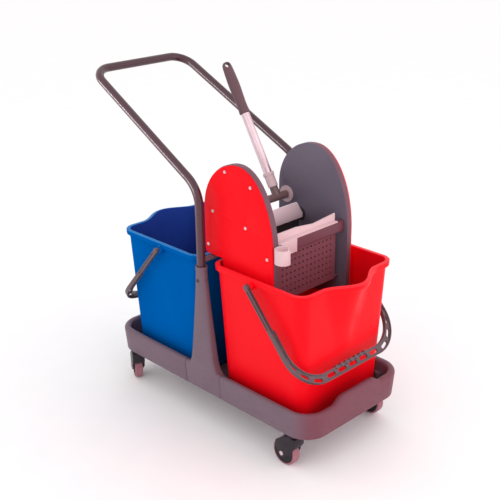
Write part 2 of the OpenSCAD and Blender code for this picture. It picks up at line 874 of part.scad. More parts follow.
// The left wall; the right one is its mirror image
module wringer_wall() {
    difference() {
        across(press_half, wall_out) polygon(wall_outline(0));
        across(press_half + wr_web, wall_out + eps) difference() {
            intersection() {
                gear_pocket();
                polygon(wall_outline(pocket_rim));
            }
            translate(cover_screws_at[4]) circle(r = guard_boss_r);
        }
        translate([shaft_x, 0, shaft_z]) pin_y(shaft_d + bush_room, press_half - eps, wall_out);
        translate([jaw_x, 0, jaw_z]) pin_y(jaw_shaft_d + bush_room, press_half - eps, wall_out);
        for (p = cover_screws_at) translate([p[0], 0, p[1]])
            pin_y(screw_d + 2 * run_gap, press_half + wr_web, wall_out + eps);
    }
}

module wringer_cover() {
    difference() {
        across(wall_out, cover_out) polygon(wall_outline(cover_inset));
        for (p = cover_screws_at) translate([p[0], 0, p[1]])
            pin_y(screw_d + 2 * run_gap, wall_out - eps, cover_out + eps);
    }
}

module left_wall() {
    color(grey) at_pillar() wringer_wall();
}

module right_wall() {
    color(grey) at_pillar() mirror([0, 1, 0]) wringer_wall();
}

module left_cover() {
    color(red) at_pillar() wringer_cover();
}

module right_cover() {
    color(red) at_pillar() mirror([0, 1, 0]) wringer_cover();
}

module cover_screws() {
    color(steel) at_pillar() both_sides() for (p = cover_screws_at) translate([p[0], 0, p[1]]) {
        pin_y(screw_d, wall_out - wr_wall + wr_web + 1, cover_out + head_h / 2);
        pin_y(head_d, cover_out, cover_out + head_h);
    }
}

// Press basket: back sheet, curved floor and perforated front grille

module basket_section() {
    low = jaw_z - floor_r - sheet_t;
    polygon([[wr_back(low), low], [wr_back(low) + sheet_t, low], [wr_back(back_top) + sheet_t, back_top],
             [wr_back(back_top), back_top]]);
    translate([wr_back(low), low]) square([jaw_x - wr_back(low), sheet_t]);
    translate([jaw_x, jaw_z]) intersection() {
        difference() {
            circle(floor_r + sheet_t);
            circle(floor_r);
        }
        polygon([[0, 0], [0, -2 * floor_r], [2 * floor_r, -2 * floor_r],
                 polar(2 * floor_r, -floor_end - 1.5)]);
    }
}

module front_holes() {
    z0 = grille_z + hole_dz * 0.75;
    for (i = [0:hole_cols - 1], k = [0:hole_rows - 1])
        translate([grille_x, (i - (hole_cols - 1) / 2) * hole_dx, z0 + k * hole_dz]) rotate([0, 90, 0])
            cylinder(d = hole_d, h = 4 * sheet_t, center = true);
}

module floor_holes() {
    for (i = [0:hole_cols - 1], q = [50:8:82])
        translate([jaw_x, (i - (hole_cols - 1) / 2) * hole_dx, jaw_z]) rotate([0, q, 0])
            translate([floor_r - sheet_t, 0, 0]) rotate([0, 90, 0]) cylinder(d = hole_d, h = 3 * sheet_t);
}

module press_basket() {
    color(grey) at_pillar() difference() {
        union() {
            across(-press_half, press_half) basket_section();
            translate([grille_x, -grille_half, grille_z - drip])
                cube([sheet_t, 2 * grille_half, grille_top - grille_z + drip]);
        }
        front_holes();
        floor_holes();
    }
}

module front_rail() {
    r = 4;
    color(grey) at_pillar() across(-press_half, press_half) {
        translate([rail_x, rail_z]) square([rail_t - r, rail_h]);
        translate([rail_x, rail_z + r]) square([rail_t, rail_h - 2 * r]);
        for (z = [rail_z + r, rail_z + rail_h - r]) translate([rail_x + rail_t - r, z]) circle(r);
    }
}

// White lip on the rail, lower towards its far end, with a tab over the rail's front. The open clip curls
// out from the tab in front of the right wall's edge.
module lip_clip() {
    top = rail_z + rail_h;
    face = rail_x + rail_t;
    clip_out = clip_r + clip_t;
    clip_x = wr_front + pass_gap + clip_out;
    neck_t = clip_t - 1;
    neck_y = clip_y + clip_r + (clip_t - neck_t) / 2;
    color(white) at_pillar() {
        translate([rail_x, 0, top]) rotate([90, 0, 90]) linear_extrude(lip_t)
            polygon([[lip_near, 0], [lip_far, 0], [lip_far, lip_h], [20, lip_h - lip_low], [-48, lip_h],
                     [lip_near, lip_h]]);
        translate([rail_x, lip_near, top]) cube([rail_t, lip_far - lip_near, lip_t]);
        translate([rail_x, lip_near, top]) cube([rail_t + lip_t, tab_far - lip_near, lip_t]);
        translate([face, lip_near, top - tab_drop]) cube([lip_t, tab_far - lip_near, tab_drop + lip_t]);
        translate([clip_x, clip_y, clip_z]) rotate([0, 0, clip_start]) rotate_extrude(angle = clip_turn)
            translate([clip_r, 0]) square([clip_t, clip_h]);
        translate([clip_x, clip_y, clip_z]) rotate([0, 0, clip_start + clip_turn])
            translate([clip_r + 0.8 * clip_t, 0, 1]) cylinder(d = clip_t * 1.5, h = clip_h - 2);
        translate([face + lip_t / 2, neck_y, clip_z + 1])
            cube([clip_x - face - lip_t / 2 - 1, neck_t, clip_h - 2]);
    }
}

// A flanged bushing in the left wall
module bushing(d) {
    difference() {
        union() {
            pin_y(d + 2 * bush_t, press_half - flange_h / 2, press_half + wr_web);
            pin_y(d + 2 * bush_t + 2 * bush_flange, press_half - flange_h, press_half);
        }
        pin_y(d + 2 * run_gap, press_half - flange_h - eps, press_half + wr_web + eps);
    }
}

module shaft_bushings() {
    color(white) at_pillar() both_sides() translate([shaft_x, 0, shaft_z]) bushing(shaft_d);
}

module jaw_bushings() {
    color(white) at_pillar() both_sides() translate([jaw_x, 0, jaw_z]) bushing(jaw_shaft_d);
}

// Gear sectors

function gear_pitch(teeth) = gear_module * teeth / 2;
function gear_tip(teeth) = gear_pitch(teeth) + gear_module;
function gear_root(teeth) = gear_pitch(teeth) - 1.25 * gear_module;
function inv(a) = tan(a) * 180 / PI - a;

// Half the angle that a tooth fills at radius r
function tooth_half(teeth, r) =
    let (p = gear_pitch(teeth), b = p * cos(pressure))
    (PI * gear_module / 2 - backlash) / (2 * p) * 180 / PI + inv(pressure) - inv(acos(min(1, b / r)));

function polar(r, q) = [r * cos(q), r * sin(q)];

module tooth(teeth) {
    radii = [for (i = [0:5]) gear_root(teeth) - 0.5 + (gear_tip(teeth) - gear_root(teeth) + 0.5) * i / 5];
    polygon(concat([for (r = radii) polar(r, -tooth_half(teeth, r))],
                   [for (i = [5:-1:0]) polar(radii[i], tooth_half(teeth, radii[i]))]));
}

// A hub with teeth at the given angles, on a shaft of diameter d
module gear_sector(teeth, angles, hub, d) {
    step = 180 / teeth;
    root = gear_root(teeth);
    first = min(angles) - step;
    last = max(angles) + step;
    mid = (first + last) / 2;
    far = 2 * root / cos((last - first) / 4);
    difference() {
        union() {
            circle(hub);
            for (q = angles) rotate(q) tooth(teeth);
            intersection() {
                circle(root);
                polygon([[0, 0], polar(2 * root, first), polar(far, (first + mid) / 2), polar(2 * root, mid),
                         polar(far, (mid + last) / 2), polar(2 * root, last)]);
            }
        }
        circle(d = d + 2 * run_gap);
    }
}

// The lever gear has a tooth on the line of centres at rest, and the jaw gear a gap
module lever_gear() {
    translate([shaft_x, 0, shaft_z]) across(gear_in, gear_in + gear_t)
        gear_sector(lever_teeth, [for (k = [-1:3]) gear_turn + k * 360 / lever_teeth], hub_r, shaft_d);
}

module jaw_gear() {
    translate([jaw_x, 0, jaw_z]) across(gear_in, gear_in + gear_t)
        gear_sector(jaw_teeth, [for (k = [-3.5:0.5]) gear_turn + 180 + k * 360 / jaw_teeth],
                    jaw_hub_r, jaw_shaft_d);
}

module left_lever_gear() {
    color(steel) at_pillar() lever_gear();
}

module right_lever_gear() {
    color(steel) at_pillar() mirror([0, 1, 0]) lever_gear();
}

module left_jaw_gear() {
    color(steel) at_pillar() jaw_gear();
}

module right_jaw_gear() {
    color(steel) at_pillar() mirror([0, 1, 0]) jaw_gear();
}

// Lever, drawn with z along it from the shaft axis

module at_lever() {
    at_pillar() translate([shaft_x, lever_y, shaft_z]) rotate([0, -lever_lean, 0]) children();
}

module lever_shaft() {
    color(steel) {
        at_pillar() translate([shaft_x, 0, shaft_z]) pin_y(shaft_d, -gear_in - gear_t, gear_in + gear_t);
        at_lever() cylinder(d = lever_d - 1, h = stub_len);
    }
}

module lever_ferrule() {
    color(white) at_lever() difference() {
        union() {
            translate([0, 0, ferrule_start]) cylinder(d = lever_d + 2 * ferrule_t, h = ferrule_len);
            translate([0, 0, ferrule_start + ferrule_len - 9]) cylinder(d = lever_d + 4 * ferrule_t, h = 9);
        }
        translate([0, 0, ferrule_start - eps]) cylinder(d = lever_d + 2 * run_gap, h = ferrule_len + 2 * eps);
    }
}

module lever_tube() {
    color(alu) at_lever() difference() {
        translate([0, 0, tube_start]) cylinder(d = lever_d, h = tube_end - tube_start);
        translate([0, 0, tube_start - eps]) cylinder(d = lever_d - 3, h = lever_len);
    }
}

// Grip: a turned form with a flared mouth, a swelling and a domed end with a hanging hole
module lever_grip() {
    r = lever_d / 2;
    g = grip_len;
    tip_r = 9;
    color(dark_grey) at_lever() translate([0, 0, grip_start]) difference() {
        rotate_extrude() {
            polygon([[0, 0], [r + 3.2, 0], [r + 3, 0.05 * g], [r + 1.6, 0.16 * g], [r + 2.6, 0.32 * g],
                     [r + 3.8, 0.5 * g], [r + 3.6, 0.68 * g], [r + 2.2, 0.84 * g], [r + 1.2, g - tip_r],
                     [r + 1.2 - tip_r, g], [0, g]]);
            intersection() {
                translate([r + 1.2 - tip_r, g - tip_r]) circle(tip_r);
                square([2 * r, g]);
            }
        }
        translate([0, 0, -eps]) cylinder(d = lever_d + 2 * run_gap, h = grip_bore + eps);
        translate([0, 0, g - hang_in]) rotate([0, 90, hang_turn])
            cylinder(d = hang_d, h = 4 * r, center = true);
    }
}

// Jaw, drawn at its pivot

module at_jaw() {
    at_pillar() translate([jaw_x, 0, jaw_z]) children();
}

module jaw_shaft() {
    color(steel) at_jaw() pin_y(jaw_shaft_d, -gear_in - gear_t, gear_in + gear_t);
}

module jaw_plate() {
    color(dark_grey) at_jaw() difference() {
        union() {
            translate([-jaw_t / 2, -jaw_half, -jaw_reach]) cube([jaw_t, 2 * jaw_half, jaw_reach]);
            pin_y(2 * jaw_hub_out, -jaw_half, jaw_half);
        }
        pin_y(jaw_shaft_d + 2 * run_gap, -jaw_half - eps, jaw_half + eps);
        for (i = [0:hole_cols - 1], k = [0:hole_rows - 1])
            translate([0, (i - (hole_cols - 1) / 2) * hole_dx, hole_dz * (k + 0.8) - jaw_reach])
                rotate([0, 90, 0]) cylinder(d = hole_d, h = 4 * jaw_t, center = true);
    }
}

// White lip along the top of the jaw, with cut corners
module jaw_lip() {
    color(white) at_jaw() translate([jaw_lip_x, 0, 0]) rotate([90, 0, 90]) linear_extrude(jaw_lip_t)
        polygon([[-jaw_half, -jaw_lip_down], [jaw_half, -jaw_lip_down], [jaw_half, 6],
                 [jaw_half - jaw_chamfer, jaw_lip_up], [jaw_chamfer - jaw_half, jaw_lip_up], [-jaw_half, 6]]);
}

// Casters at the four corners
module front_right_stem() at_caster(1, -1, 0) caster_stem();
module front_right_fork() at_caster(1, -1, 0) caster_fork();
module front_right_axle() at_caster(1, -1, 0) caster_axle();
module front_right_hub() at_caster(1, -1, 0) caster_hub();
module front_right_tyre() at_caster(1, -1, 0) caster_tyre();
module front_left_stem() at_caster(1, 1, 0) caster_stem();
module front_left_fork() at_caster(1, 1, 0) caster_fork();
module front_left_axle() at_caster(1, 1, 0) caster_axle();
module front_left_hub() at_caster(1, 1, 0) caster_hub();
module front_left_tyre() at_caster(1, 1, 0) caster_tyre();
module rear_right_stem() at_caster(-1, -1, rear_turn) caster_stem();
module rear_right_fork() at_caster(-1, -1, rear_turn) caster_fork();
module rear_right_axle() at_caster(-1, -1, rear_turn) caster_axle();
module rear_right_hub() at_caster(-1, -1, rear_turn) caster_hub();
module rear_right_tyre() at_caster(-1, -1, rear_turn) caster_tyre();
module rear_left_stem() at_caster(-1, 1, rear_turn) caster_stem();
module rear_left_fork() at_caster(-1, 1, rear_turn) caster_fork();
module rear_left_axle() at_caster(-1, 1, rear_turn) caster_axle();
module rear_left_hub() at_caster(-1, 1, rear_turn) caster_hub();
module rear_left_tyre() at_caster(-1, 1, rear_turn) caster_tyre();

front_tray();
rear_tray();
centre_frame();
push_handle();
cross_bar();
handle_screws();
front_right_stem();
front_right_fork();
front_right_axle();
front_right_hub();
front_right_tyre();
front_left_stem();
front_left_fork();
front_left_axle();
front_left_hub();
front_left_tyre();
rear_right_stem();
rear_right_fork();
rear_right_axle();
rear_right_hub();
rear_right_tyre();
rear_left_stem();
rear_left_fork();
rear_left_axle();
rear_left_hub();
rear_left_tyre();
red_bucket();
blue_bucket();
red_bail();
blue_bail();
right_wall();
left_wall();
right_cover();
left_cover();
cover_screws();
press_basket();
front_rail();
lip_clip();
shaft_bushings();
jaw_bushings();
lever_shaft();
lever_ferrule();
lever_tube();
lever_grip();
right_lever_gear();
left_lever_gear();
jaw_shaft();
jaw_plate();
jaw_lip();
right_jaw_gear();
left_jaw_gear();
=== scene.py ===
# %% [markdown]
# # A double mop bucket trolley
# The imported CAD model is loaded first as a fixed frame: every solid is already at its real size and place,
# in metres, with +Z up and +X towards the wringer end. The looks are then built round it: finishes for the
# solids that are right as they are, and new pieces for the moulded shells and the bent handle, whose rims,
# swellings and bends are easier to shape in Blender.

# %% Load the frame
import json
import math
import bpy
from mathutils import Matrix, Vector

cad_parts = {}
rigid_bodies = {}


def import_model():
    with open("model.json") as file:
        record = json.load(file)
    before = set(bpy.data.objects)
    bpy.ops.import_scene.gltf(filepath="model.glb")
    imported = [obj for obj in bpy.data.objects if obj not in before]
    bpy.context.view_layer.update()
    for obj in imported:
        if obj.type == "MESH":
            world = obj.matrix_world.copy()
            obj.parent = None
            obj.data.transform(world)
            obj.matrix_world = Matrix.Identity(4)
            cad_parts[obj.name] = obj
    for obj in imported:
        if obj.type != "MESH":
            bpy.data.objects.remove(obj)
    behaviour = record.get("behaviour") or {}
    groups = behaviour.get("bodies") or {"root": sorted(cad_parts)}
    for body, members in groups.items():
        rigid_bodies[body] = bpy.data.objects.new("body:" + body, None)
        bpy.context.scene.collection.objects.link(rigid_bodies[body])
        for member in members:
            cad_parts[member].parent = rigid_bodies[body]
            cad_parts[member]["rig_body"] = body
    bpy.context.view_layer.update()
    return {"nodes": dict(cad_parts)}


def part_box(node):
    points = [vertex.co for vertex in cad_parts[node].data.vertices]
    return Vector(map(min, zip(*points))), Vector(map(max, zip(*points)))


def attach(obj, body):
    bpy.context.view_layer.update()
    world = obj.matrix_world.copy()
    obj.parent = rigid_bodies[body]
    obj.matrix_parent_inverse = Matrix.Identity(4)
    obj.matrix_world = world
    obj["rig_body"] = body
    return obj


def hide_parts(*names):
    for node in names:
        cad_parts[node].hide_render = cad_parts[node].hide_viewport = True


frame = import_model()
NODES = frame["nodes"]
PILLAR_X = sum(c.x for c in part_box("cross_bar")) / 2

# %% [markdown]
# ## Camera
# The camera stands off the trolley's front right corner and looks a little down on it, as the photographer
# did. Its place, lens and slight roll come from matching known points of the trolley to the photograph, so
# they are set as numbers. A long lens keeps the verticals almost parallel.

# %% Camera
CAMERA_AT = Vector((PILLAR_X + 1.7982, -1.7594, 1.5159))
AZIMUTH, ELEVATION, ROLL = math.radians(45.76), math.radians(22.07), math.radians(-0.67)
FOCAL_PIXELS, IMAGE_PIXELS, SENSOR_MM = 918.11, 500, 36

back = Vector((math.sin(AZIMUTH) * math.cos(ELEVATION),
               -math.cos(AZIMUTH) * math.cos(ELEVATION),
               math.sin(ELEVATION)))
level = Vector((math.cos(AZIMUTH), math.sin(AZIMUTH), 0))
upright = back.cross(level)
right = level * math.cos(ROLL) + upright * math.sin(ROLL)
up = upright * math.cos(ROLL) - level * math.sin(ROLL)
camera_data = bpy.data.cameras.new("studio_camera")
camera_data.sensor_width = SENSOR_MM
camera_data.lens = FOCAL_PIXELS * SENSOR_MM / IMAGE_PIXELS
camera = bpy.data.objects.new("studio_camera", camera_data)
bpy.context.scene.collection.objects.link(camera)
camera.matrix_world = Matrix.Translation(CAMERA_AT) @ Matrix((right, up, back)).transposed().to_4x4()
bpy.context.scene.camera = camera
print("lens", round(camera_data.lens, 2), "mm")

# %% [markdown]
# ## Helpers for modelling by hand
# Operators act on whatever is selected, so each step first clears the selection and then selects faces,
# edges or points in code, by their place or their normal. A finished piece keeps its place in its mesh,
# with its object at the origin, as the CAD solids do.

# %% Selecting
NEAR = 0.001    # a point this close to a plane counts as lying on it
STEEP = 0.5     # a normal's z is less than this on a wall and more on a top
BOTH_SIDES = (-1, 1)


def deselect():
    if bpy.context.mode != "OBJECT":
        bpy.ops.object.mode_set(mode="OBJECT")
    bpy.ops.object.select_all(action="DESELECT")


def only(piece):
    deselect()
    piece.select_set(True)
    bpy.context.view_layer.objects.active = piece


def pick(piece, kind, test):
    """Selects the points, edges or faces that pass the test, and leaves the piece in edit mode."""
    only(piece)
    bpy.ops.object.mode_set(mode="EDIT")
    bpy.ops.mesh.select_mode(type=kind)
    bpy.ops.mesh.select_all(action="DESELECT")
    bpy.ops.object.mode_set(mode="OBJECT")
    mesh = piece.data
    if kind == "VERT":
        for v in mesh.vertices:
            v.select = test(v.co)
    elif kind == "EDGE":
        for e in mesh.edges:
            e.select = test(mesh.vertices[e.vertices[0]].co, mesh.vertices[e.vertices[1]].co)
    else:
        for f in mesh.polygons:
            f.select = test(f.center, f.normal)
    bpy.ops.object.mode_set(mode="EDIT")


def any_face(centre, normal):
    return True


def looks_up(centre, normal):
    return normal.z > 0.9


def stands_up(a, b):
    """True for an edge of a plain box that runs from its foot to its top."""
    return abs(a.z - b.z) > NEAR


# %% [markdown]
# New pieces start as a box or a cylinder, which is then cut into levels, bevelled, joined or drilled.

# %% Starting, cutting and joining
def place(piece):
    """Puts the piece's place, turn and scale into its mesh."""
    only(piece)
    bpy.ops.object.transform_apply(location=True, rotation=True, scale=True)
    return piece


def new_box(name, low, high):
    deselect()
    centre = [(a + b) / 2 for a, b in zip(low, high)]
    bpy.ops.mesh.primitive_cube_add(size=1, location=centre)
    piece = bpy.context.active_object
    piece.name = name
    piece.scale = [b - a for a, b in zip(low, high)]
    return place(piece)


def new_round(name, radius, start, end, sides=40):
    """A cylinder between two points."""
    deselect()
    start, end = Vector(start), Vector(end)
    bpy.ops.mesh.primitive_cylinder_add(vertices=sides, radius=radius, depth=(end - start).length)
    piece = bpy.context.active_object
    piece.name = name
    piece.rotation_euler = (end - start).to_track_quat("Z", "Y").to_euler()
    piece.location = (start + end) / 2
    return place(piece)


def cut_levels(piece, point, normal, levels):
    """Cuts the mesh by parallel planes at the given distances from a point."""
    normal = Vector(normal)
    for d in levels:
        pick(piece, "FACE", any_face)
        bpy.ops.mesh.bisect(plane_co=Vector(point) + normal * d, plane_no=normal)
    bpy.ops.object.mode_set(mode="OBJECT")


def join(first, *others):
    only(first)
    for o in others:
        o.select_set(True)
    bpy.ops.object.join()
    return first


def apply(piece, modifier):
    only(piece)
    bpy.ops.object.modifier_apply(modifier=modifier.name)


def combine(piece, tool, operation):
    """Adds a tool's solid to the piece or takes it away, and then removes the tool."""
    step = piece.modifiers.new("step", "BOOLEAN")
    step.operation, step.object, step.solver = operation, tool, "EXACT"
    apply(piece, step)
    only(tool)
    bpy.ops.object.delete()


# %% [markdown]
# A piece is finished by rounding and smoothing its edges, by giving it its material and the body it rides
# on, and by hiding the solid that it stands for.

# %% Finishing
SHARP = 60    # degrees, where only the sharpest edges are to be rounded


def turn_round(piece):
    """Turns a piece half a turn about the upright line midway between the pillars."""
    only(piece)
    piece.rotation_euler.z = math.pi
    piece.location.x = 2 * PILLAR_X
    return place(piece)


def round_edges(piece, width, segments=3, angle=35):
    bevel = piece.modifiers.new("edges", "BEVEL")
    bevel.width, bevel.segments = width, segments
    bevel.limit_method, bevel.angle_limit = "ANGLE", math.radians(angle)
    bevel.use_clamp_overlap = True
    apply(piece, bevel)


def smooth(piece, angle=40):
    only(piece)
    bpy.ops.object.shade_smooth_by_angle(angle=math.radians(angle))


def dress(piece, finish, body, node):
    """Gives a finished piece its material and its body, and hides the solid that it stands for."""
    piece.data.materials.clear()
    piece.data.materials.append(finish)
    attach(piece, body)
    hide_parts(node)
    print(f"{piece.name}: {len(piece.data.polygons)} faces on {body}")
    return piece


def second_finish(piece, finish, test):
    """Gives the faces that pass the test another material."""
    piece.data.materials.append(finish)
    for face in piece.data.polygons:
        if test(face.center, face.normal):
            face.material_index = len(piece.data.materials) - 1


def print_box(piece):
    low, high = [[f(v.co[i] for v in piece.data.vertices) for i in range(3)] for f in (min, max)]
    print(piece.name, "box", [round(c, 4) for c in low], [round(c, 4) for c in high])


# %% [markdown]
# ## Finishes
# Almost everything here is injection-moulded plastic. Real mouldings are never one flat colour: the mould's
# texture breaks up the shine, the pigment is a little cloudy, and use leaves fine scuffs. The recipes are
# put together from a few parts: a noise, a colour ramp, a range for the roughness and a fine relief, all on
# Object coordinates, so they are sized in metres.

# %% Parts of the recipes
NOISE_LOW, NOISE_HIGH = 0.3, 0.7    # most of a noise lies between these values
WHITE = (1, 1, 1, 1)


def srgb(r, g, b):
    """A colour as read from a screen, turned into the linear values that the shader wants."""
    def channel(c):
        c /= 255
        return c / 12.92 if c <= 0.04045 else ((c + 0.055) / 1.055) ** 2.4
    return (channel(r), channel(g), channel(b), 1.0)


def shade(colour, k):
    return tuple(c * k for c in colour[:3]) + (1.0,)


def new_finish(name):
    """A new material, with its node tree, its shader and its Object coordinates."""
    material = bpy.data.materials.new(name)
    material.use_nodes = True
    tree = material.node_tree
    coords = tree.nodes.new("ShaderNodeTexCoord").outputs["Object"]
    return material, tree, tree.nodes["Principled BSDF"], coords


def noise(tree, coords, scale, detail, stretch=None):
    """A noise texture in metres: scale is the number of blotches in one metre."""
    if stretch:
        mapping = tree.nodes.new("ShaderNodeMapping")
        mapping.inputs["Scale"].default_value = stretch
        tree.links.new(coords, mapping.inputs["Vector"])
        coords = mapping.outputs["Vector"]
    tex = tree.nodes.new("ShaderNodeTexNoise")
    tex.inputs["Scale"].default_value = scale
    tex.inputs["Detail"].default_value = detail
    tree.links.new(coords, tex.inputs["Vector"])
    return tex.outputs["Fac"]


def ramp(tree, value, low, high, low_colour, high_colour):
    node = tree.nodes.new("ShaderNodeValToRGB")
    node.color_ramp.elements[0].position = low
    node.color_ramp.elements[1].position = high
    node.color_ramp.elements[0].color = low_colour
    node.color_ramp.elements[1].color = high_colour
    tree.links.new(value, node.inputs["Fac"])
    return node.outputs["Color"]


def spread(tree, value, low, high):
    """Spreads a noise over a range of values."""
    node = tree.nodes.new("ShaderNodeMapRange")
    node.inputs["From Min"].default_value = NOISE_LOW
    node.inputs["From Max"].default_value = NOISE_HIGH
    node.inputs["To Min"].default_value = low
    node.inputs["To Max"].default_value = high
    tree.links.new(value, node.inputs["Value"])
    return node.outputs["Result"]


def relief(tree, shader, height, strength, distance):
    node = tree.nodes.new("ShaderNodeBump")
    node.inputs["Strength"].default_value = strength
    node.inputs["Distance"].default_value = distance
    tree.links.new(height, node.inputs["Height"])
    tree.links.new(node.outputs["Normal"], shader.inputs["Normal"])


def towards(tree, coords, tint, colour, x_from, x_to):
    """Turns a tint into another colour between two places along X."""
    split = tree.nodes.new("ShaderNodeSeparateXYZ")
    tree.links.new(coords, split.inputs["Vector"])
    share = tree.nodes.new("ShaderNodeMapRange")
    share.interpolation_type = "SMOOTHSTEP"
    share.inputs["From Min"].default_value = x_from
    share.inputs["From Max"].default_value = x_to
    tree.links.new(split.outputs["X"], share.inputs["Value"])
    mix = tree.nodes.new("ShaderNodeMix")
    mix.data_type = "RGBA"
    mix.inputs["B"].default_value = colour
    tree.links.new(share.outputs["Result"], mix.inputs["Factor"])
    tree.links.new(tint, mix.inputs["A"])
    return mix.outputs["Result"]


# %% [markdown]
# One recipe serves every moulding, at adjustable strength: a broad noise for the cloudiness, a fine one for
# the mould's texture and a stretched one for scuffs, which darken the colour and dull the shine.

# %% A recipe for moulded plastic
CLOUD_SCALE, SCUFF_SCALE, SCUFF_STRETCH = 9, 40, (1.0, 1.0, 7.0)
SCUFF_LOW, SCUFF_HIGH = 0.25, 0.5
DULLER, SHINIER, MOULD_DEPTH = 0.08, 0.05, 0.0006


def moulded(name, colour, rough, cloud=0.1, grain=900, bump=0.06, scuff=0.08, coat=0.0, coat_rough=0.12,
            specular=0.5, painted_light=None):
    """Moulded plastic. A painted light (colour, x from, x to) turns the colour into another one along X."""
    material, tree, shader, coords = new_finish(name)
    link = tree.links.new
    broad = noise(tree, coords, CLOUD_SCALE, 3)
    fine = noise(tree, coords, grain, 2)
    scuffs = noise(tree, coords, SCUFF_SCALE, 4, stretch=SCUFF_STRETCH)
    tint = ramp(tree, broad, NOISE_LOW, NOISE_HIGH, shade(colour, 1 - cloud), shade(colour, 1 + cloud))
    # painted light: the tint turns warmer along X
    if painted_light:
        tint = towards(tree, coords, tint, *painted_light)
    mix = tree.nodes.new("ShaderNodeMix")
    mix.data_type = "RGBA"
    mix.blend_type = "MULTIPLY"
    mix.inputs["Factor"].default_value = 1.0
    link(tint, mix.inputs["A"])
    link(ramp(tree, scuffs, SCUFF_LOW, SCUFF_HIGH, shade(WHITE, 1 - scuff), WHITE), mix.inputs["B"])
    link(mix.outputs["Result"], shader.inputs["Base Color"])
    link(spread(tree, scuffs, rough + DULLER, rough - SHINIER), shader.inputs["Roughness"])
    relief(tree, shader, fine, bump, MOULD_DEPTH)
    shader.inputs["Coat Weight"].default_value = coat
    shader.inputs["Coat Roughness"].default_value = coat_rough
    shader.inputs["Specular IOR Level"].default_value = specular
    return material


# %% [markdown]
# Metals get their own recipe: the colour hardly varies, but fine lines along the drawing or turning
# direction vary the roughness, and that is what makes bare metal look like metal.

# %% A recipe for bare metal
LINE_SCALE, PATCH_SCALE, LINE_STRENGTH, LINE_DEPTH = 260, 14, 0.03, 0.0004
DARK_PATCH, LIGHT_PATCH, SMOOTH_LINE, ROUGH_LINE = 0.88, 1.08, 0.07, 0.1


def metal(name, colour, rough, stretch=(1, 1, 1)):
    material, tree, shader, coords = new_finish(name)
    lines = noise(tree, coords, LINE_SCALE, 3, stretch=stretch)
    patches = noise(tree, coords, PATCH_SCALE, 2)
    tint = ramp(tree, patches, NOISE_LOW, NOISE_HIGH, shade(colour, DARK_PATCH), shade(colour, LIGHT_PATCH))
    tree.links.new(tint, shader.inputs["Base Color"])
    shine = spread(tree, lines, rough - SMOOTH_LINE, rough + ROUGH_LINE)
    tree.links.new(shine, shader.inputs["Roughness"])
    relief(tree, shader, lines, LINE_STRENGTH, LINE_DEPTH)
    shader.inputs["Metallic"].default_value = 1.0
    return material


# %% [markdown]
# The finishes themselves. Each has its own colour and shine. The buckets have a paler finish for the top of
# the rim, a painted highlight where the light catches it, and the blue one a deeper finish for its hollow,
# painted shade. The front tray turns warmer towards its end, a painted reflection of red light, and the
# handle is coated steel with a thin clear gloss.

# %% Reds and blues
SIGNAL_RED = srgb(246, 8, 25)
bucket_red = moulded("bucket_red", SIGNAL_RED, 0.38, cloud=0.03, scuff=0.02, bump=0.03, specular=0.1)
cover_red = moulded("cover_red", SIGNAL_RED, 0.4, cloud=0.02, scuff=0.02, bump=0.02, specular=0.09)
# a paler red for the rim's top: a painted highlight
painted_highlight_red = moulded("painted_highlight_red", srgb(250, 34, 48), 0.38, cloud=0.03, scuff=0.02, bump=0.02, specular=0.15)
bucket_blue = moulded("bucket_blue", srgb(0, 92, 172), 0.42, cloud=0.05, scuff=0.04, bump=0.03,
                      specular=0.0)
# a paler blue for the rim's top: a painted highlight
painted_highlight_blue = moulded("painted_highlight_blue", srgb(22, 118, 190), 0.42, cloud=0.04, scuff=0.02, bump=0.02, specular=0.1)
# a deeper blue for the hollow: painted shade inside the bucket
painted_shade_blue = moulded("painted_shade_blue", srgb(34, 62, 146), 0.45, cloud=0.05, scuff=0.04, bump=0.03,
                      specular=0.02)
print("six finishes for the coloured mouldings")

# %% Greys, black and white
BASE_GREY = dict(colour=srgb(112, 91, 103), rough=0.5, cloud=0.05, scuff=0.06, bump=0.08, grain=700,
                 specular=0.35)
tray_grey = moulded("tray_grey", **BASE_GREY)
# the front tray's grey, with a painted pinkish reflection of red light towards its end
front_grey_painted_light = moulded("front_grey_painted_light", **BASE_GREY,
                     painted_light=(srgb(115, 62, 75), PILLAR_X + 0.35, PILLAR_X + 0.415))
handle_coat = moulded("handle_coat", srgb(68, 38, 48), 0.3, cloud=0.04, scuff=0.03, bump=0.02,
                      coat=0.6, coat_rough=0.2, specular=0.2)
WRINGER = dict(cloud=0.05, scuff=0.06, bump=0.05)
wringer_grey = moulded("wringer_grey", srgb(108, 98, 114), 0.42, **WRINGER, specular=0.35)
# a warmer copy of the wringer grey: painted red reflection on the walls' edges
painted_red_reflection_grey = moulded("painted_red_reflection_grey", srgb(108, 74, 86), 0.42, **WRINGER, specular=0.35)
# the rail's grey with painted red light in it
rail_grey_painted_red_light = moulded("rail_grey_painted_red_light", srgb(108, 60, 73), 0.45, **WRINGER, specular=0.3)
# the basket's grey: partly its own tone, partly painted red reflected light
grille_grey_painted_red_light = moulded("grille_grey_painted_red_light", srgb(126, 76, 87), 0.5, cloud=0.06, scuff=0.06, specular=0.2)
shadow_grey = moulded("shadow_grey", srgb(56, 49, 54), 0.5, scuff=0.1, bump=0.1)
bail_grey = moulded("bail_grey", srgb(92, 74, 80), 0.4, cloud=0.07, scuff=0.1)
grip_grey = moulded("grip_grey", srgb(100, 72, 79), 0.5, cloud=0.07, scuff=0.06, bump=0.12, grain=1400,
                    specular=0.35)
caster_black = moulded("caster_black", srgb(36, 28, 36), 0.4, cloud=0.12, scuff=0.16, bump=0.08,
                       specular=0.3)
tread_grey = moulded("tread_grey", srgb(160, 106, 116), 0.6, cloud=0.07, scuff=0.12, bump=0.12, grain=1100,
                     specular=0.3)
PALE = dict(rough=0.42, cloud=0.03, scuff=0.04, bump=0.03)
# a brighter copy of the white nylon: painted light on the jaw lip
painted_light_white = moulded("painted_light_white", srgb(246, 224, 229), **PALE)
nylon_white = moulded("nylon_white", srgb(218, 188, 192), **PALE)
print("fourteen finishes for the grey, black and white mouldings")

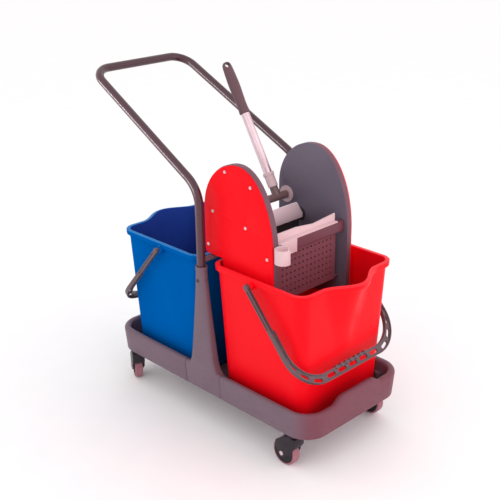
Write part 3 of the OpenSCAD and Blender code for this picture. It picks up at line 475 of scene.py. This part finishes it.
# %% Metals
shaft_steel = moulded("shaft_steel", srgb(118, 92, 92), 0.32, cloud=0.08, scuff=0.1, bump=0.04,
                      specular=0.6)
lever_alu = metal("lever_alu", srgb(222, 198, 204), 0.32, stretch=(1, 14, 1))
zinc = metal("zinc", srgb(226, 208, 213), 0.45)
dark_steel = metal("dark_steel", srgb(90, 80, 84), 0.45)
gear_iron = metal("gear_iron", srgb(120, 116, 116), 0.5)
print("five finishes for the metal pieces, the shaft's a dull painted one")

# %% [markdown]
# ## Solids that are right as they are
# The wheels, shafts, screws and bushings, the lever's tube, the hidden gears and the perforated basket come
# out of the CAD model with true curves, so they keep their shape and only get a finish.

# %% Finishes on the solids
CORNERS = ["front_right", "front_left", "rear_right", "rear_left"]
finish_of = {
    "cross_bar": tray_grey, "handle_screws": dark_steel, "cover_screws": zinc, "press_basket": grille_grey_painted_red_light,
    "shaft_bushings": nylon_white, "jaw_bushings": shadow_grey, "jaw_plate": shadow_grey, "jaw_shaft": zinc,
    "lever_shaft": shaft_steel, "lever_ferrule": nylon_white, "lever_tube": lever_alu,
}
for side in ("right", "left"):
    finish_of[side + "_lever_gear"] = gear_iron
    finish_of[side + "_jaw_gear"] = gear_iron
for corner in CORNERS:
    finish_of[corner + "_stem"] = zinc
    finish_of[corner + "_axle"] = zinc
    finish_of[corner + "_hub"] = caster_black
    finish_of[corner + "_tyre"] = tread_grey
for node, finish in finish_of.items():
    NODES[node].data.materials.clear()
    NODES[node].data.materials.append(finish)
print("finishes on", len(finish_of), "of", len(NODES), "solids")

# %% [markdown]
# ## Buckets
# Each bucket is one moulding: a tapered box with rounded corners, a bell-shaped pouring spout that fades
# into the end wall, and a turned-out lip round the rim. It is shaped as a box would be by hand: the upright
# edges are bevelled, the foot is scaled in, the open mesh is cut into levels, and a weight-painted Displace
# modifier pushes the spout out. Solidify then gives the wall its thickness, and the lip is extruded from the
# top band.

# %% Bucket sizes, as in the part's source
RIM_GAP, RIM_LEN, RIM_W, RIM_Z = 0.025, 0.355, 0.390, 0.520
LIP, LIP_H, TAPER, WALL = 0.009, 0.014, 0.018, 0.0035
FOOT_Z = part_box("red_bucket")[0].z
BUCKET_CORNER, FOOT_ROUND, RIM_ROUND = 0.036, 0.012, 0.0024
SPOUT_REACH, SPOUT_HALF, SPOUT_DEPTH, SPOUT_NARROW = 0.048, 0.113, 0.23, 0.35
SPOUT_FADE, END_ZONE = 1.2, 0.03
# The cuts: level ones down from the rim, one of them along the lip's lower edge, and upright ones out from
# the middle of the end wall.
LEVEL_STEP, LEVELS, LIP_CUT = 0.013, 17, LIP_H - 0.0002
STRIP_STEP, STRIPS_ASIDE = 0.0095, 12


def spout_share(point, front):
    """How far the spout carries a point of the end wall outwards: 1 at the tip, 0 away from the spout."""
    if point.x < front - END_ZONE:
        return 0.0
    depth = max(0.0, 1 - (RIM_Z - point.z) / SPOUT_DEPTH) ** SPOUT_FADE
    half = SPOUT_HALF * (SPOUT_NARROW + (1 - SPOUT_NARROW) * depth)
    return depth * (0.5 + 0.5 * math.cos(math.pi * point.y / half)) if abs(point.y) < half else 0.0


# %% Shape one bucket
def bucket_box(name, x0, x1, half):
    """An open tapered box, with its corners and foot rounded."""
    piece = new_box(name, (x0, -half, FOOT_Z), (x1, half, RIM_Z))
    pick(piece, "EDGE", stands_up)
    bpy.ops.mesh.bevel(offset=BUCKET_CORNER, segments=9, affect="EDGES")
    pick(piece, "VERT", lambda v: v.z < FOOT_Z + NEAR)
    shrink = (1 - 2 * TAPER / (x1 - x0), 1 - TAPER / half, 1)
    bpy.ops.transform.resize(value=shrink, center_override=((x0 + x1) / 2, 0, FOOT_Z))
    pick(piece, "EDGE", lambda a, b: max(a.z, b.z) < FOOT_Z + NEAR)
    bpy.ops.mesh.bevel(offset=FOOT_ROUND, segments=4, affect="EDGES")
    pick(piece, "FACE", lambda c, n: looks_up(c, n) and c.z > RIM_Z - NEAR)
    bpy.ops.mesh.delete(type="FACE")
    bpy.ops.object.mode_set(mode="OBJECT")
    return piece


def push_spout(piece, front):
    levels = [LEVEL_STEP * i for i in range(1, LEVELS + 1)] + [LIP_CUT]
    cut_levels(piece, (0, 0, RIM_Z), (0, 0, -1), sorted(levels))
    strips = [STRIP_STEP * i for i in range(-STRIPS_ASIDE, STRIPS_ASIDE + 1)]
    cut_levels(piece, (0, 0, 0), (0, 1, 0), strips)
    weights = piece.vertex_groups.new(name="spout")
    for v in piece.data.vertices:
        share = spout_share(v.co, front)
        if share:
            weights.add([v.index], share, "REPLACE")
    push = piece.modifiers.new("spout", "DISPLACE")
    push.direction, push.mid_level, push.strength, push.vertex_group = "X", 0.0, SPOUT_REACH, "spout"
    apply(piece, push)


def shape_bucket(name):
    x0, x1 = PILLAR_X + RIM_GAP + LIP, PILLAR_X + RIM_GAP + RIM_LEN - LIP
    piece = bucket_box(name, x0, x1, RIM_W / 2 - LIP)
    push_spout(piece, x1)
    wall = piece.modifiers.new("wall", "SOLIDIFY")
    wall.thickness, wall.offset, wall.use_even_offset = WALL, -1, True
    apply(piece, wall)
    middle = Vector(((x0 + x1) / 2, 0, 0))
    def lip_face(c, n):
        return c.z > RIM_Z - LIP_H and abs(n.z) < STEEP and n.dot(Vector((c.x, c.y, 0)) - middle) > 0
    pick(piece, "FACE", lip_face)
    bpy.ops.mesh.extrude_region_shrink_fatten(TRANSFORM_OT_shrink_fatten={"value": LIP})
    bpy.ops.object.mode_set(mode="OBJECT")
    round_edges(piece, RIM_ROUND)
    return piece


# %% [markdown]
# The bail swings on a round boss at the middle of each long side. It is a short cylinder with a bevelled
# rim, sunk into the wall under the lip. Two tests then tell the hollow and the top of the rim from the rest
# of the shell, for their second finishes: painted shade in the hollow and a painted highlight on the rim.

# %% Bosses, hollow and rim
EAR_X, EAR_Z, EAR_R, EAR_ROUND = 0.190, RIM_Z - 0.018, 0.0125, 0.002
EAR_IN, EAR_OUT = 0.181, RIM_W / 2 + 0.0075
RIM_BAND, HOLLOW_TOP, HOLLOW_HALF = 0.006, RIM_Z - 0.003, RIM_W / 2 - LIP - 0.002
INWARD, FLOOR_LIKE, OVERHANG = 0.02, 0.7, -0.2    # shares of a normal that tell the hollow's faces


def bail_bosses():
    bosses = []
    for side in BOTH_SIDES:
        boss = new_round("boss", EAR_R, (PILLAR_X + EAR_X, side * EAR_IN, EAR_Z),
                         (PILLAR_X + EAR_X, side * EAR_OUT, EAR_Z))
        round_edges(boss, EAR_ROUND)
        bosses.append(boss)
    return bosses


# The hollow's faces, which take the painted shade.
def faces_inside(bucket):
    """A test for the faces that look into the bucket, below its lip."""
    middle = sum((v.co for v in bucket.data.vertices), Vector()) / len(bucket.data.vertices)
    def looks_in(c, n):
        inward = Vector((middle.x - c.x, middle.y - c.y, 0))
        in_hollow = c.z < HOLLOW_TOP and abs(c.y) <= HOLLOW_HALF
        faces_in = n.dot(inward) > INWARD * inward.length or n.z > FLOOR_LIKE
        return in_hollow and faces_in and n.z > OVERHANG
    return looks_in


# The rim's top faces, which take the painted highlight.
def rim_top(c, n):
    return n.z > STEEP and c.z > RIM_Z - RIM_BAND


# %% Both buckets
red_bucket = join(shape_bucket("red_bucket_shell"), *bail_bosses())
smooth(red_bucket)
blue_bucket = join(shape_bucket("blue_bucket_shell"), *bail_bosses())
turn_round(blue_bucket)
smooth(blue_bucket)
dress(red_bucket, bucket_red, "red_bucket", "red_bucket")
dress(blue_bucket, bucket_blue, "blue_bucket", "blue_bucket")
# painted shade on the blue bucket's hollow
second_finish(blue_bucket, painted_shade_blue, faces_inside(blue_bucket))
# the paler rim tops are painted highlights
for bucket, rim in ((red_bucket, painted_highlight_red), (blue_bucket, painted_highlight_blue)):
    second_finish(bucket, rim, rim_top)
    print_box(bucket)

# %% [markdown]
# ## Centre frame and pillars
# The middle of the base carries a pillar on each side. Each pillar rises out of the tray wall with a wide,
# squarish foot, sweeps in with a hollow fillet and ends round under the handle's collar. A cylinder is cut
# into levels, and each ring is then set to its own length, depth and squareness, because no single operator
# turns a rounded square into a circle by degrees.

# %% Pillar sizes, as in the part's source
BASE_Z, WALL_Z, WALL_T, FLARE, BASE_HALF = 0.107, 0.184, 0.022, 0.006, 0.206
PILLAR_Y, PILLAR_TOP, COLLAR_R, COLLAR_H = 0.200, 0.508, 0.017, 0.015
FOOT_DEPTH, PILLAR_TAPER, FILLET, FILLET_H = 0.034, 0.104, 0.022, 0.016
CENTRE_HALF, SEAM_MARGIN, FOOT_PROUD = 0.074, 0.001, 0.0004
NECK_R, COLLAR_SINK, COLLAR_ROUND = COLLAR_R - 0.001, 0.004, 0.0016
SWEEP_LOW, SWEEP_TOP = WALL_Z - WALL_T / 2, PILLAR_TOP - COLLAR_H + 0.0005
PILLAR_LEVELS, PILLAR_SIDES, BLANK_R = 40, 72, 0.03
CROWDING = 1.6    # above 1, the levels crowd towards the foot


def pillar_section(z):
    """Half length, half depth, middle and squareness of the pillar at a height."""
    t = min(1, max(0, (z - SWEEP_LOW) / (SWEEP_TOP - SWEEP_LOW)))
    half_length = NECK_R + PILLAR_TAPER * (SWEEP_TOP - z) + FILLET * math.exp(-(z - SWEEP_LOW) / FILLET_H)
    half_depth = FOOT_DEPTH / 2 + (NECK_R - FOOT_DEPTH / 2) * t
    foot_middle = BASE_HALF + FLARE + FOOT_PROUD - FOOT_DEPTH / 2
    half_length = min(half_length, CENTRE_HALF - SEAM_MARGIN)
    return half_length, half_depth, PILLAR_Y + (1 - t) * (foot_middle - PILLAR_Y), 2 + 4 * (1 - t) ** 2


def squared(angle, power):
    """A point on a rounded square: a power of 2 gives a circle, a larger one squarer corners."""
    c, s = math.cos(angle), math.sin(angle)
    return (math.copysign(abs(c) ** (2 / power), c), math.copysign(abs(s) ** (2 / power), s))


# %% Shape one pillar
def shape_pillar(side):
    piece = new_round("pillar", BLANK_R, (0, 0, SWEEP_LOW), (0, 0, SWEEP_TOP), sides=PILLAR_SIDES)
    span = SWEEP_TOP - SWEEP_LOW
    cut_levels(piece, (0, 0, SWEEP_LOW), (0, 0, 1),
               [span * (i / PILLAR_LEVELS) ** CROWDING for i in range(1, PILLAR_LEVELS)])
    for v in piece.data.vertices:
        half_length, half_depth, middle, power = pillar_section(v.co.z)
        along, across = squared(math.atan2(v.co.y, v.co.x), power)
        v.co.x, v.co.y = PILLAR_X + half_length * along, side * middle + half_depth * across
    collar = new_round("collar", COLLAR_R, (PILLAR_X, side * PILLAR_Y, PILLAR_TOP - COLLAR_H),
                       (PILLAR_X, side * PILLAR_Y, PILLAR_TOP), sides=PILLAR_SIDES)
    pick(collar, "FACE", looks_up)
    bpy.ops.mesh.inset(thickness=COLLAR_SINK)
    bpy.ops.transform.translate(value=(0, 0, -COLLAR_SINK))
    bpy.ops.object.mode_set(mode="OBJECT")
    round_edges(collar, COLLAR_ROUND)
    return join(piece, collar)


# %% [markdown]
# Between the two seams the tray wall and floor run straight through. The wall is a box whose top edges are
# bevelled to a full round and then leaned outwards. A plain block under each pillar fills its foot.

# %% Wall runs, floor, and the whole frame
FLOOR_TOP, FLOOR_HALF = FOOT_Z - 0.0003, 0.196
BLOCK_HALF, BLOCK_IN, BLOCK_OUT = 0.06, 0.1803, 0.197
BLOCK_LOW, BLOCK_TOP = BASE_Z + 0.008, WALL_Z - 0.006
LEAN_FROM, SEAM_ROUND, RUN_TOP_ROUND = WALL_Z - 0.02, 0.001, WALL_T / 2 - 0.0002


def side_box(name, side, half_length, inner, outer, low_z, high_z):
    """A box on one side of the base, as long before the pillar as behind it."""
    y0, y1 = sorted((side * inner, side * outer))
    return new_box(name, (PILLAR_X - half_length, y0, low_z), (PILLAR_X + half_length, y1, high_z))


def wall_run(side):
    piece = side_box("wall_run", side, CENTRE_HALF, BASE_HALF - WALL_T, BASE_HALF, BASE_Z, WALL_Z)
    pick(piece, "EDGE", lambda a, b: min(a.z, b.z) > WALL_Z - NEAR and abs(a.x - b.x) > NEAR)
    bpy.ops.mesh.bevel(offset=RUN_TOP_ROUND, segments=8, affect="EDGES")
    pick(piece, "VERT", lambda v: v.z > LEAN_FROM)
    bpy.ops.transform.translate(value=(0, side * FLARE, 0))
    bpy.ops.object.mode_set(mode="OBJECT")
    round_edges(piece, SEAM_ROUND, segments=2, angle=SHARP)
    return piece


middle_floor = new_box("centre_frame_shell", (PILLAR_X - CENTRE_HALF, -FLOOR_HALF, BASE_Z),
                       (PILLAR_X + CENTRE_HALF, FLOOR_HALF, FLOOR_TOP))
round_edges(middle_floor, SEAM_ROUND, segments=2)
foot_blocks = [side_box("foot_block", side, BLOCK_HALF, BLOCK_IN, BLOCK_OUT, BLOCK_LOW, BLOCK_TOP)
               for side in BOTH_SIDES]
wall_runs = [wall_run(side) for side in BOTH_SIDES]
pillars = [shape_pillar(side) for side in BOTH_SIDES]
centre_frame = join(middle_floor, *wall_runs, *pillars, *foot_blocks)
smooth(centre_frame, 35)
dress(centre_frame, tray_grey, "chassis", "centre_frame")

# %% [markdown]
# ## Push handle
# The handle is one bent tube. A filled circle at the foot of the right leg is extruded along each straight
# run and spun through each bend, up one leg, across the bar and down the other.

# %% Handle sizes, and the two steps of bending
TUBE_R, LEG_FOOT, BEND_Z, BAR_Z = 0.0125, 0.4183, 0.731, 0.988
HANDLE_RUN, BAR_HALF, LOW_BEND, TOP_BEND = 0.492, 0.176, 0.088, 0.060
TUBE_SIDES, BEND_STEPS = 40, 14


def extrude_to(point, at):
    bpy.ops.mesh.extrude_region_move(TRANSFORM_OT_translate={"value": point - at})
    return point


def bend(at, way, way_out, radius):
    """Spins the selected end from one direction into another, and returns where the bend ends."""
    turn = way.angle(way_out)
    axis = way.cross(way_out)
    inward = (way_out - way * math.cos(turn)).normalized()
    centre = at + inward * radius
    bpy.ops.mesh.spin(steps=BEND_STEPS, angle=-turn, center=centre, axis=axis.normalized())
    return centre + Matrix.Rotation(turn, 3, axis) @ (at - centre)


# %% Bend the handle
def bent_tube(name, radius, corners, bends):
    deselect()
    way = (corners[1] - corners[0]).normalized()
    bpy.ops.mesh.primitive_circle_add(vertices=TUBE_SIDES, radius=radius, fill_type="NGON",
                                      location=corners[0])
    piece = place(bpy.context.active_object)
    piece.name = name
    pick(piece, "FACE", any_face)
    at = corners[0]
    for i, radius_here in enumerate(bends, start=1):
        way_out = (corners[i + 1] - corners[i]).normalized()
        run_out = radius_here * math.tan(way.angle(way_out) / 2)
        at = extrude_to(corners[i] - way * run_out, at)
        at = bend(at, way, way_out, radius_here)
        way = way_out
    extrude_to(corners[-1], at)
    bpy.ops.mesh.select_all(action="SELECT")
    bpy.ops.mesh.normals_make_consistent(inside=False)
    bpy.ops.object.mode_set(mode="OBJECT")
    smooth(piece)
    return piece


def leg(side):
    """The foot, the low bend and the top bend of one leg."""
    return [Vector((PILLAR_X, side * PILLAR_Y, LEG_FOOT)), Vector((PILLAR_X, side * PILLAR_Y, BEND_Z)),
            Vector((PILLAR_X - HANDLE_RUN, side * BAR_HALF, BAR_Z))]


handle = bent_tube("push_handle_tube", TUBE_R, leg(-1) + leg(1)[::-1],
                   [LOW_BEND, TOP_BEND, TOP_BEND, LOW_BEND])
dress(handle, handle_coat, "chassis", "push_handle")
print_box(handle)

# %% [markdown]
# ## Trays
# Each tray is a block with two rounded corners. Its top face is inset and sunk to make the floor and walls,
# the wall tops are bevelled to a full round, and the whole wall is leaned outwards. The end wall rises in the
# middle: it is cut into narrow strips, and the points of its round top are lifted along a smooth S.

# %% Tray sizes, as in the part's source
BASE_END, CORNER_R, SEAM, OVERRUN = 0.415, 0.070, 0.0016, 0.05
RISE, RISE_FLAT, RISE_FOOT, RISE_ZONE = 0.020, 0.060, 0.104, 0.04
TRAY_STRIP, STRIPS = 0.0045, 24
TRAY_TIP, TOP_FROM, TRAY_TOP_ROUND = PILLAR_X + BASE_END, WALL_Z - WALL_T / 2 - 0.0005, WALL_T / 2 - 0.0003


def past_corner(v):
    """How far a point lies beyond a corner's centre, along X and along Y."""
    away_x = max(0, v.x - (TRAY_TIP - CORNER_R))
    away_y = max(0, abs(v.y) - (BASE_HALF - CORNER_R))
    return Vector((away_x, math.copysign(away_y, v.y)))


def crosses_top(a, b):
    """True for the short edges that run over the wall's top, from its outer to its inner side."""
    inside = [CORNER_R - past_corner(p).length > WALL_T / 2 for p in (a, b)]
    return inside[0] != inside[1]


def lean_out(v):
    """Moves a point of the wall outwards by its share of the lean."""
    share = min(1, (v.z - BASE_Z) / (WALL_Z - BASE_Z - WALL_T / 2)) * FLARE
    away = past_corner(v)
    if away.length > 1e-6:
        away.normalize()
        v.x, v.y = v.x + away.x * share, v.y + away.y * share


def lift(v):
    """Raises a point of the end wall's round top."""
    if v.x > TRAY_TIP - RISE_ZONE and v.z > TOP_FROM:
        t = min(1, max(0, (RISE_FOOT - abs(v.y)) / (RISE_FOOT - RISE_FLAT)))
        v.z += RISE * (0.5 - 0.5 * math.cos(math.pi * t))


# %% Shape one tray
def shape_tray(name):
    seam = PILLAR_X + CENTRE_HALF + SEAM
    piece = new_box(name, (seam - OVERRUN, -BASE_HALF, BASE_Z), (TRAY_TIP, BASE_HALF, WALL_Z))
    pick(piece, "EDGE", lambda a, b: stands_up(a, b) and min(a.x, b.x) > TRAY_TIP - NEAR)
    bpy.ops.mesh.bevel(offset=CORNER_R, segments=16, affect="EDGES")
    pick(piece, "FACE", looks_up)
    bpy.ops.mesh.inset(thickness=WALL_T)
    bpy.ops.mesh.extrude_region_move(TRANSFORM_OT_translate={"value": (0, 0, FLOOR_TOP - WALL_Z)})
    pick(piece, "EDGE", lambda a, b: min(a.z, b.z) > WALL_Z - NEAR and not crosses_top(a, b))
    bpy.ops.mesh.bevel(offset=TRAY_TOP_ROUND, segments=6, affect="EDGES")
    cut_levels(piece, (0, 0, 0), (0, 1, 0), [TRAY_STRIP * i for i in range(-STRIPS, STRIPS + 1)])
    for v in piece.data.vertices:
        lean_out(v.co)
        lift(v.co)
    pick(piece, "FACE", any_face)
    bpy.ops.mesh.bisect(plane_co=(seam, 0, 0), plane_no=(1, 0, 0), clear_inner=True, use_fill=True)
    bpy.ops.object.mode_set(mode="OBJECT")
    return piece


# %% [markdown]
# A boss in each corner takes a caster's stem. The bosses are joined on, and a Boolean drills the bores from
# below.

# %% Bosses and bores, and both trays
CASTER_X, CASTER_Y, BOSS_R, STEM_R, BOSS_ROUND = 0.344, 0.186, 0.013, 0.0054, 0.002
BOSS_LOW, BOSS_TOP = BASE_Z + 0.002, BASE_Z + 0.042
BORE_LOW, BORE_TOP = BASE_Z - 0.005, BOSS_TOP - 0.0058
TRAY_ROUND = 0.0008


def finish_tray(piece):
    spots = [(PILLAR_X + CASTER_X, side * CASTER_Y) for side in BOTH_SIDES]
    bosses = [new_round("boss", BOSS_R, (x, y, BOSS_LOW), (x, y, BOSS_TOP)) for x, y in spots]
    for boss in bosses:
        round_edges(boss, BOSS_ROUND)
    drills = [new_round("drill", STEM_R, (x, y, BORE_LOW), (x, y, BORE_TOP)) for x, y in spots]
    for boss in bosses:
        combine(piece, boss, "UNION")
    for drill in drills:
        combine(piece, drill, "DIFFERENCE")
    round_edges(piece, TRAY_ROUND, segments=2, angle=SHARP)
    return piece


front_tray = finish_tray(shape_tray("front_tray_shell"))
rear_tray = turn_round(finish_tray(shape_tray("rear_tray_shell")))
for tray, node, finish in ((front_tray, "front_tray", front_grey_painted_light), (rear_tray, "rear_tray", tray_grey)):
    smooth(tray)
    dress(tray, finish, "chassis", node)

# %% [markdown]
# ## Mouldings with softened edges
# The wringer's walls, covers, rail and white lips, the bails and the forks have the right forms in the CAD
# model, but its edges are razor sharp, and a real moulding catches the light along rounded ones. A copy of
# each mesh is merged, its flat triangles are dissolved into whole faces, and a Bevel modifier rounds the
# edges.

# %% Softened copies
MERGE, FLAT = 2e-6, math.radians(0.5)
ASIDE, BACKWARD = 0.6, -0.2    # shares of a normal that tell a wall's sides and back from its edge


def softened(node, name, finish, width, segments=2):
    piece = bpy.data.objects.new(name, NODES[node].data.copy())
    bpy.context.scene.collection.objects.link(piece)
    only(piece)
    bpy.ops.object.mode_set(mode="EDIT")
    bpy.ops.mesh.select_all(action="SELECT")
    bpy.ops.mesh.remove_doubles(threshold=MERGE)
    bpy.ops.mesh.dissolve_limited(angle_limit=FLAT)
    bpy.ops.object.mode_set(mode="OBJECT")
    bpy.ops.mesh.customdata_custom_splitnormals_clear()
    round_edges(piece, width, segments)
    smooth(piece)
    return dress(piece, finish, NODES[node]["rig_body"], node)


def wall_edge(c, n):
    """True for a wall's edge, where it looks up, forwards or down."""
    return abs(n.y) < ASIDE and n.x > BACKWARD


for side in ("right", "left"):
    wall = softened(side + "_wall", side + "_wall_shell", wringer_grey, width=0.0016,
                    segments=3)
    # painted red reflection on the wall's edges
    second_finish(wall, painted_red_reflection_grey, wall_edge)
    softened(side + "_cover", side + "_cover_shell", cover_red, width=0.002, segments=3)
softened("front_rail", "front_rail_bar", rail_grey_painted_red_light, width=0.001)
softened("lip_clip", "lip_clip_shell", nylon_white, width=0.0009)
softened("jaw_lip", "jaw_lip_strip", painted_light_white, width=0.001)
for colour in ("red", "blue"):
    softened(colour + "_bail", colour + "_bail_shell", bail_grey, width=0.0008)
for corner in CORNERS:
    softened(corner + "_fork", corner + "_fork_shell", caster_black, width=0.0012)

# %% [markdown]
# ## Lever grip
# The grip is a turned form: a flared mouth, a slim neck, a long swelling for the palm and a rounded end with
# a hanging hole. A cylinder is cut into levels and each ring is scaled to the profile; Subdivision Surface
# smooths it, and a Boolean drills the hole.

# %% Grip sizes, as in the part's source
LEVER_ANGLE, LEVER_LEN, GRIP_LEN, LEVER_Y = math.radians(30), 0.427, 0.164, 0.098
SHAFT_X, SHAFT_Z = PILLAR_X + 0.009, 0.640
GRIP_BLANK, GRIP_TIP, GRIP_SIDES = 0.0165, 0.0035, 32
GRIP_PROFILE = [(0.000, 0.0150), (0.004, 0.0163), (0.010, 0.0161), (0.020, 0.0149), (0.034, 0.0147),
                (0.052, 0.0155), (0.074, 0.0167), (0.096, 0.0169), (0.116, 0.0162), (0.134, 0.0153),
                (0.150, 0.0143), (0.158, 0.0124), (0.1625, 0.0085)]
HANG_IN, HANG_R, HANG_TURN, HANG_REACH = 0.0118, 0.0072, math.radians(-26), 0.03
ON_RING = 1e-4
print("the grip has", len(GRIP_PROFILE) + 1, "rings")


# %% Turn the grip
def turned_grip():
    start = LEVER_LEN - GRIP_LEN
    piece = new_round("lever_grip_turned", GRIP_BLANK, (0, 0, start), (0, 0, LEVER_LEN), sides=GRIP_SIDES)
    cut_levels(piece, (0, 0, start), (0, 0, 1), [d for d, radius in GRIP_PROFILE if d > 0])
    for d, radius in GRIP_PROFILE + [(GRIP_LEN, GRIP_TIP)]:
        pick(piece, "VERT", lambda v: abs(v.z - start - d) < ON_RING)
        k = radius / GRIP_BLANK
        bpy.ops.transform.resize(value=(k, k, 1), center_override=(0, 0, start + d))
    bpy.ops.object.mode_set(mode="OBJECT")
    rounder = piece.modifiers.new("rounder", "SUBSURF")
    rounder.levels = rounder.render_levels = 2
    apply(piece, rounder)
    way = Vector((math.cos(HANG_TURN), math.sin(HANG_TURN), 0)) * HANG_REACH
    spot = Vector((0, 0, LEVER_LEN - HANG_IN))
    combine(piece, new_round("drill", HANG_R, spot - way, spot + way), "DIFFERENCE")
    only(piece)
    piece.rotation_euler.y = -LEVER_ANGLE
    piece.location = (SHAFT_X, LEVER_Y, SHAFT_Z)
    place(piece)
    smooth(piece, 45)
    return piece


dress(turned_grip(), grip_grey, "lever", "lever_grip")

# %% [markdown]
# ## Floor and light
# The floor is a plain pale sheet. A catalogue photograph is lit almost without shadow, so most of the light
# comes evenly from the white surround. Two large soft lamps shape the sides, the one beyond the front end
# warm and pinkish, and a long strip, linked to the push handle alone, adds the thin highlight on its tube.
# The colours above were chosen as plain screen colours, so the picture is shown with the plain view
# transform: a film-like one would wash out the red.

# %% Floor
FLOOR_SIZE, FLOOR_COLOUR = 80, (0.97, 0.97, 0.97, 1)
deselect()
bpy.ops.mesh.primitive_plane_add(size=FLOOR_SIZE, location=(0, 0, 0))
floor = bpy.context.active_object
floor.name = "studio_floor"
floor_white = moulded("floor_white", FLOOR_COLOUR, 0.7, cloud=0.01, scuff=0.0, bump=0.01)
floor.data.materials.append(floor_white)
print("floor", FLOOR_SIZE, "m across")

# %% Surround
SURROUND_COLOUR, SURROUND_STRENGTH = (1, 0.985, 0.99, 1), 1.03
bpy.context.scene.view_settings.view_transform = "Standard"
world = bpy.context.scene.world or bpy.data.worlds.new("studio")
bpy.context.scene.world = world
world.use_nodes = True
surround = world.node_tree.nodes["Background"]
surround.inputs["Color"].default_value = SURROUND_COLOUR
surround.inputs["Strength"].default_value = SURROUND_STRENGTH
print("surround", SURROUND_STRENGTH)


# %% Lamps
def lamp(name, at, aim, width, height, power, colour=(1, 1, 1), only_on=None):
    data = bpy.data.lights.new(name, "AREA")
    data.shape, data.size, data.size_y = "RECTANGLE", width, height
    data.energy, data.color = power, colour
    light = bpy.data.objects.new(name, data)
    bpy.context.scene.collection.objects.link(light)
    light.location = at
    light.rotation_euler = (Vector(aim) - Vector(at)).to_track_quat("-Z", "Y").to_euler()
    if only_on:
        lit = bpy.data.collections.new(name + "_lights")
        lit.objects.link(only_on)
        light.light_linking.receiver_collection = lit
    print("lamp", name, power, "W")


lamp("key", at=(0.8, -3.2, 2.6), aim=(0, 0, 0.4), width=3.6, height=3.6, power=16)
lamp("fill", at=(3.2, 0.8, 2.0), aim=(0, 0, 0.5), width=3.6, height=3.6, power=36, colour=(1, 0.6, 0.66))
lamp("strip", at=(-1.5, -2.3, 0.9), aim=(-0.2, -0.19, 0.85), width=3.0, height=0.28, power=75,
     only_on=handle)
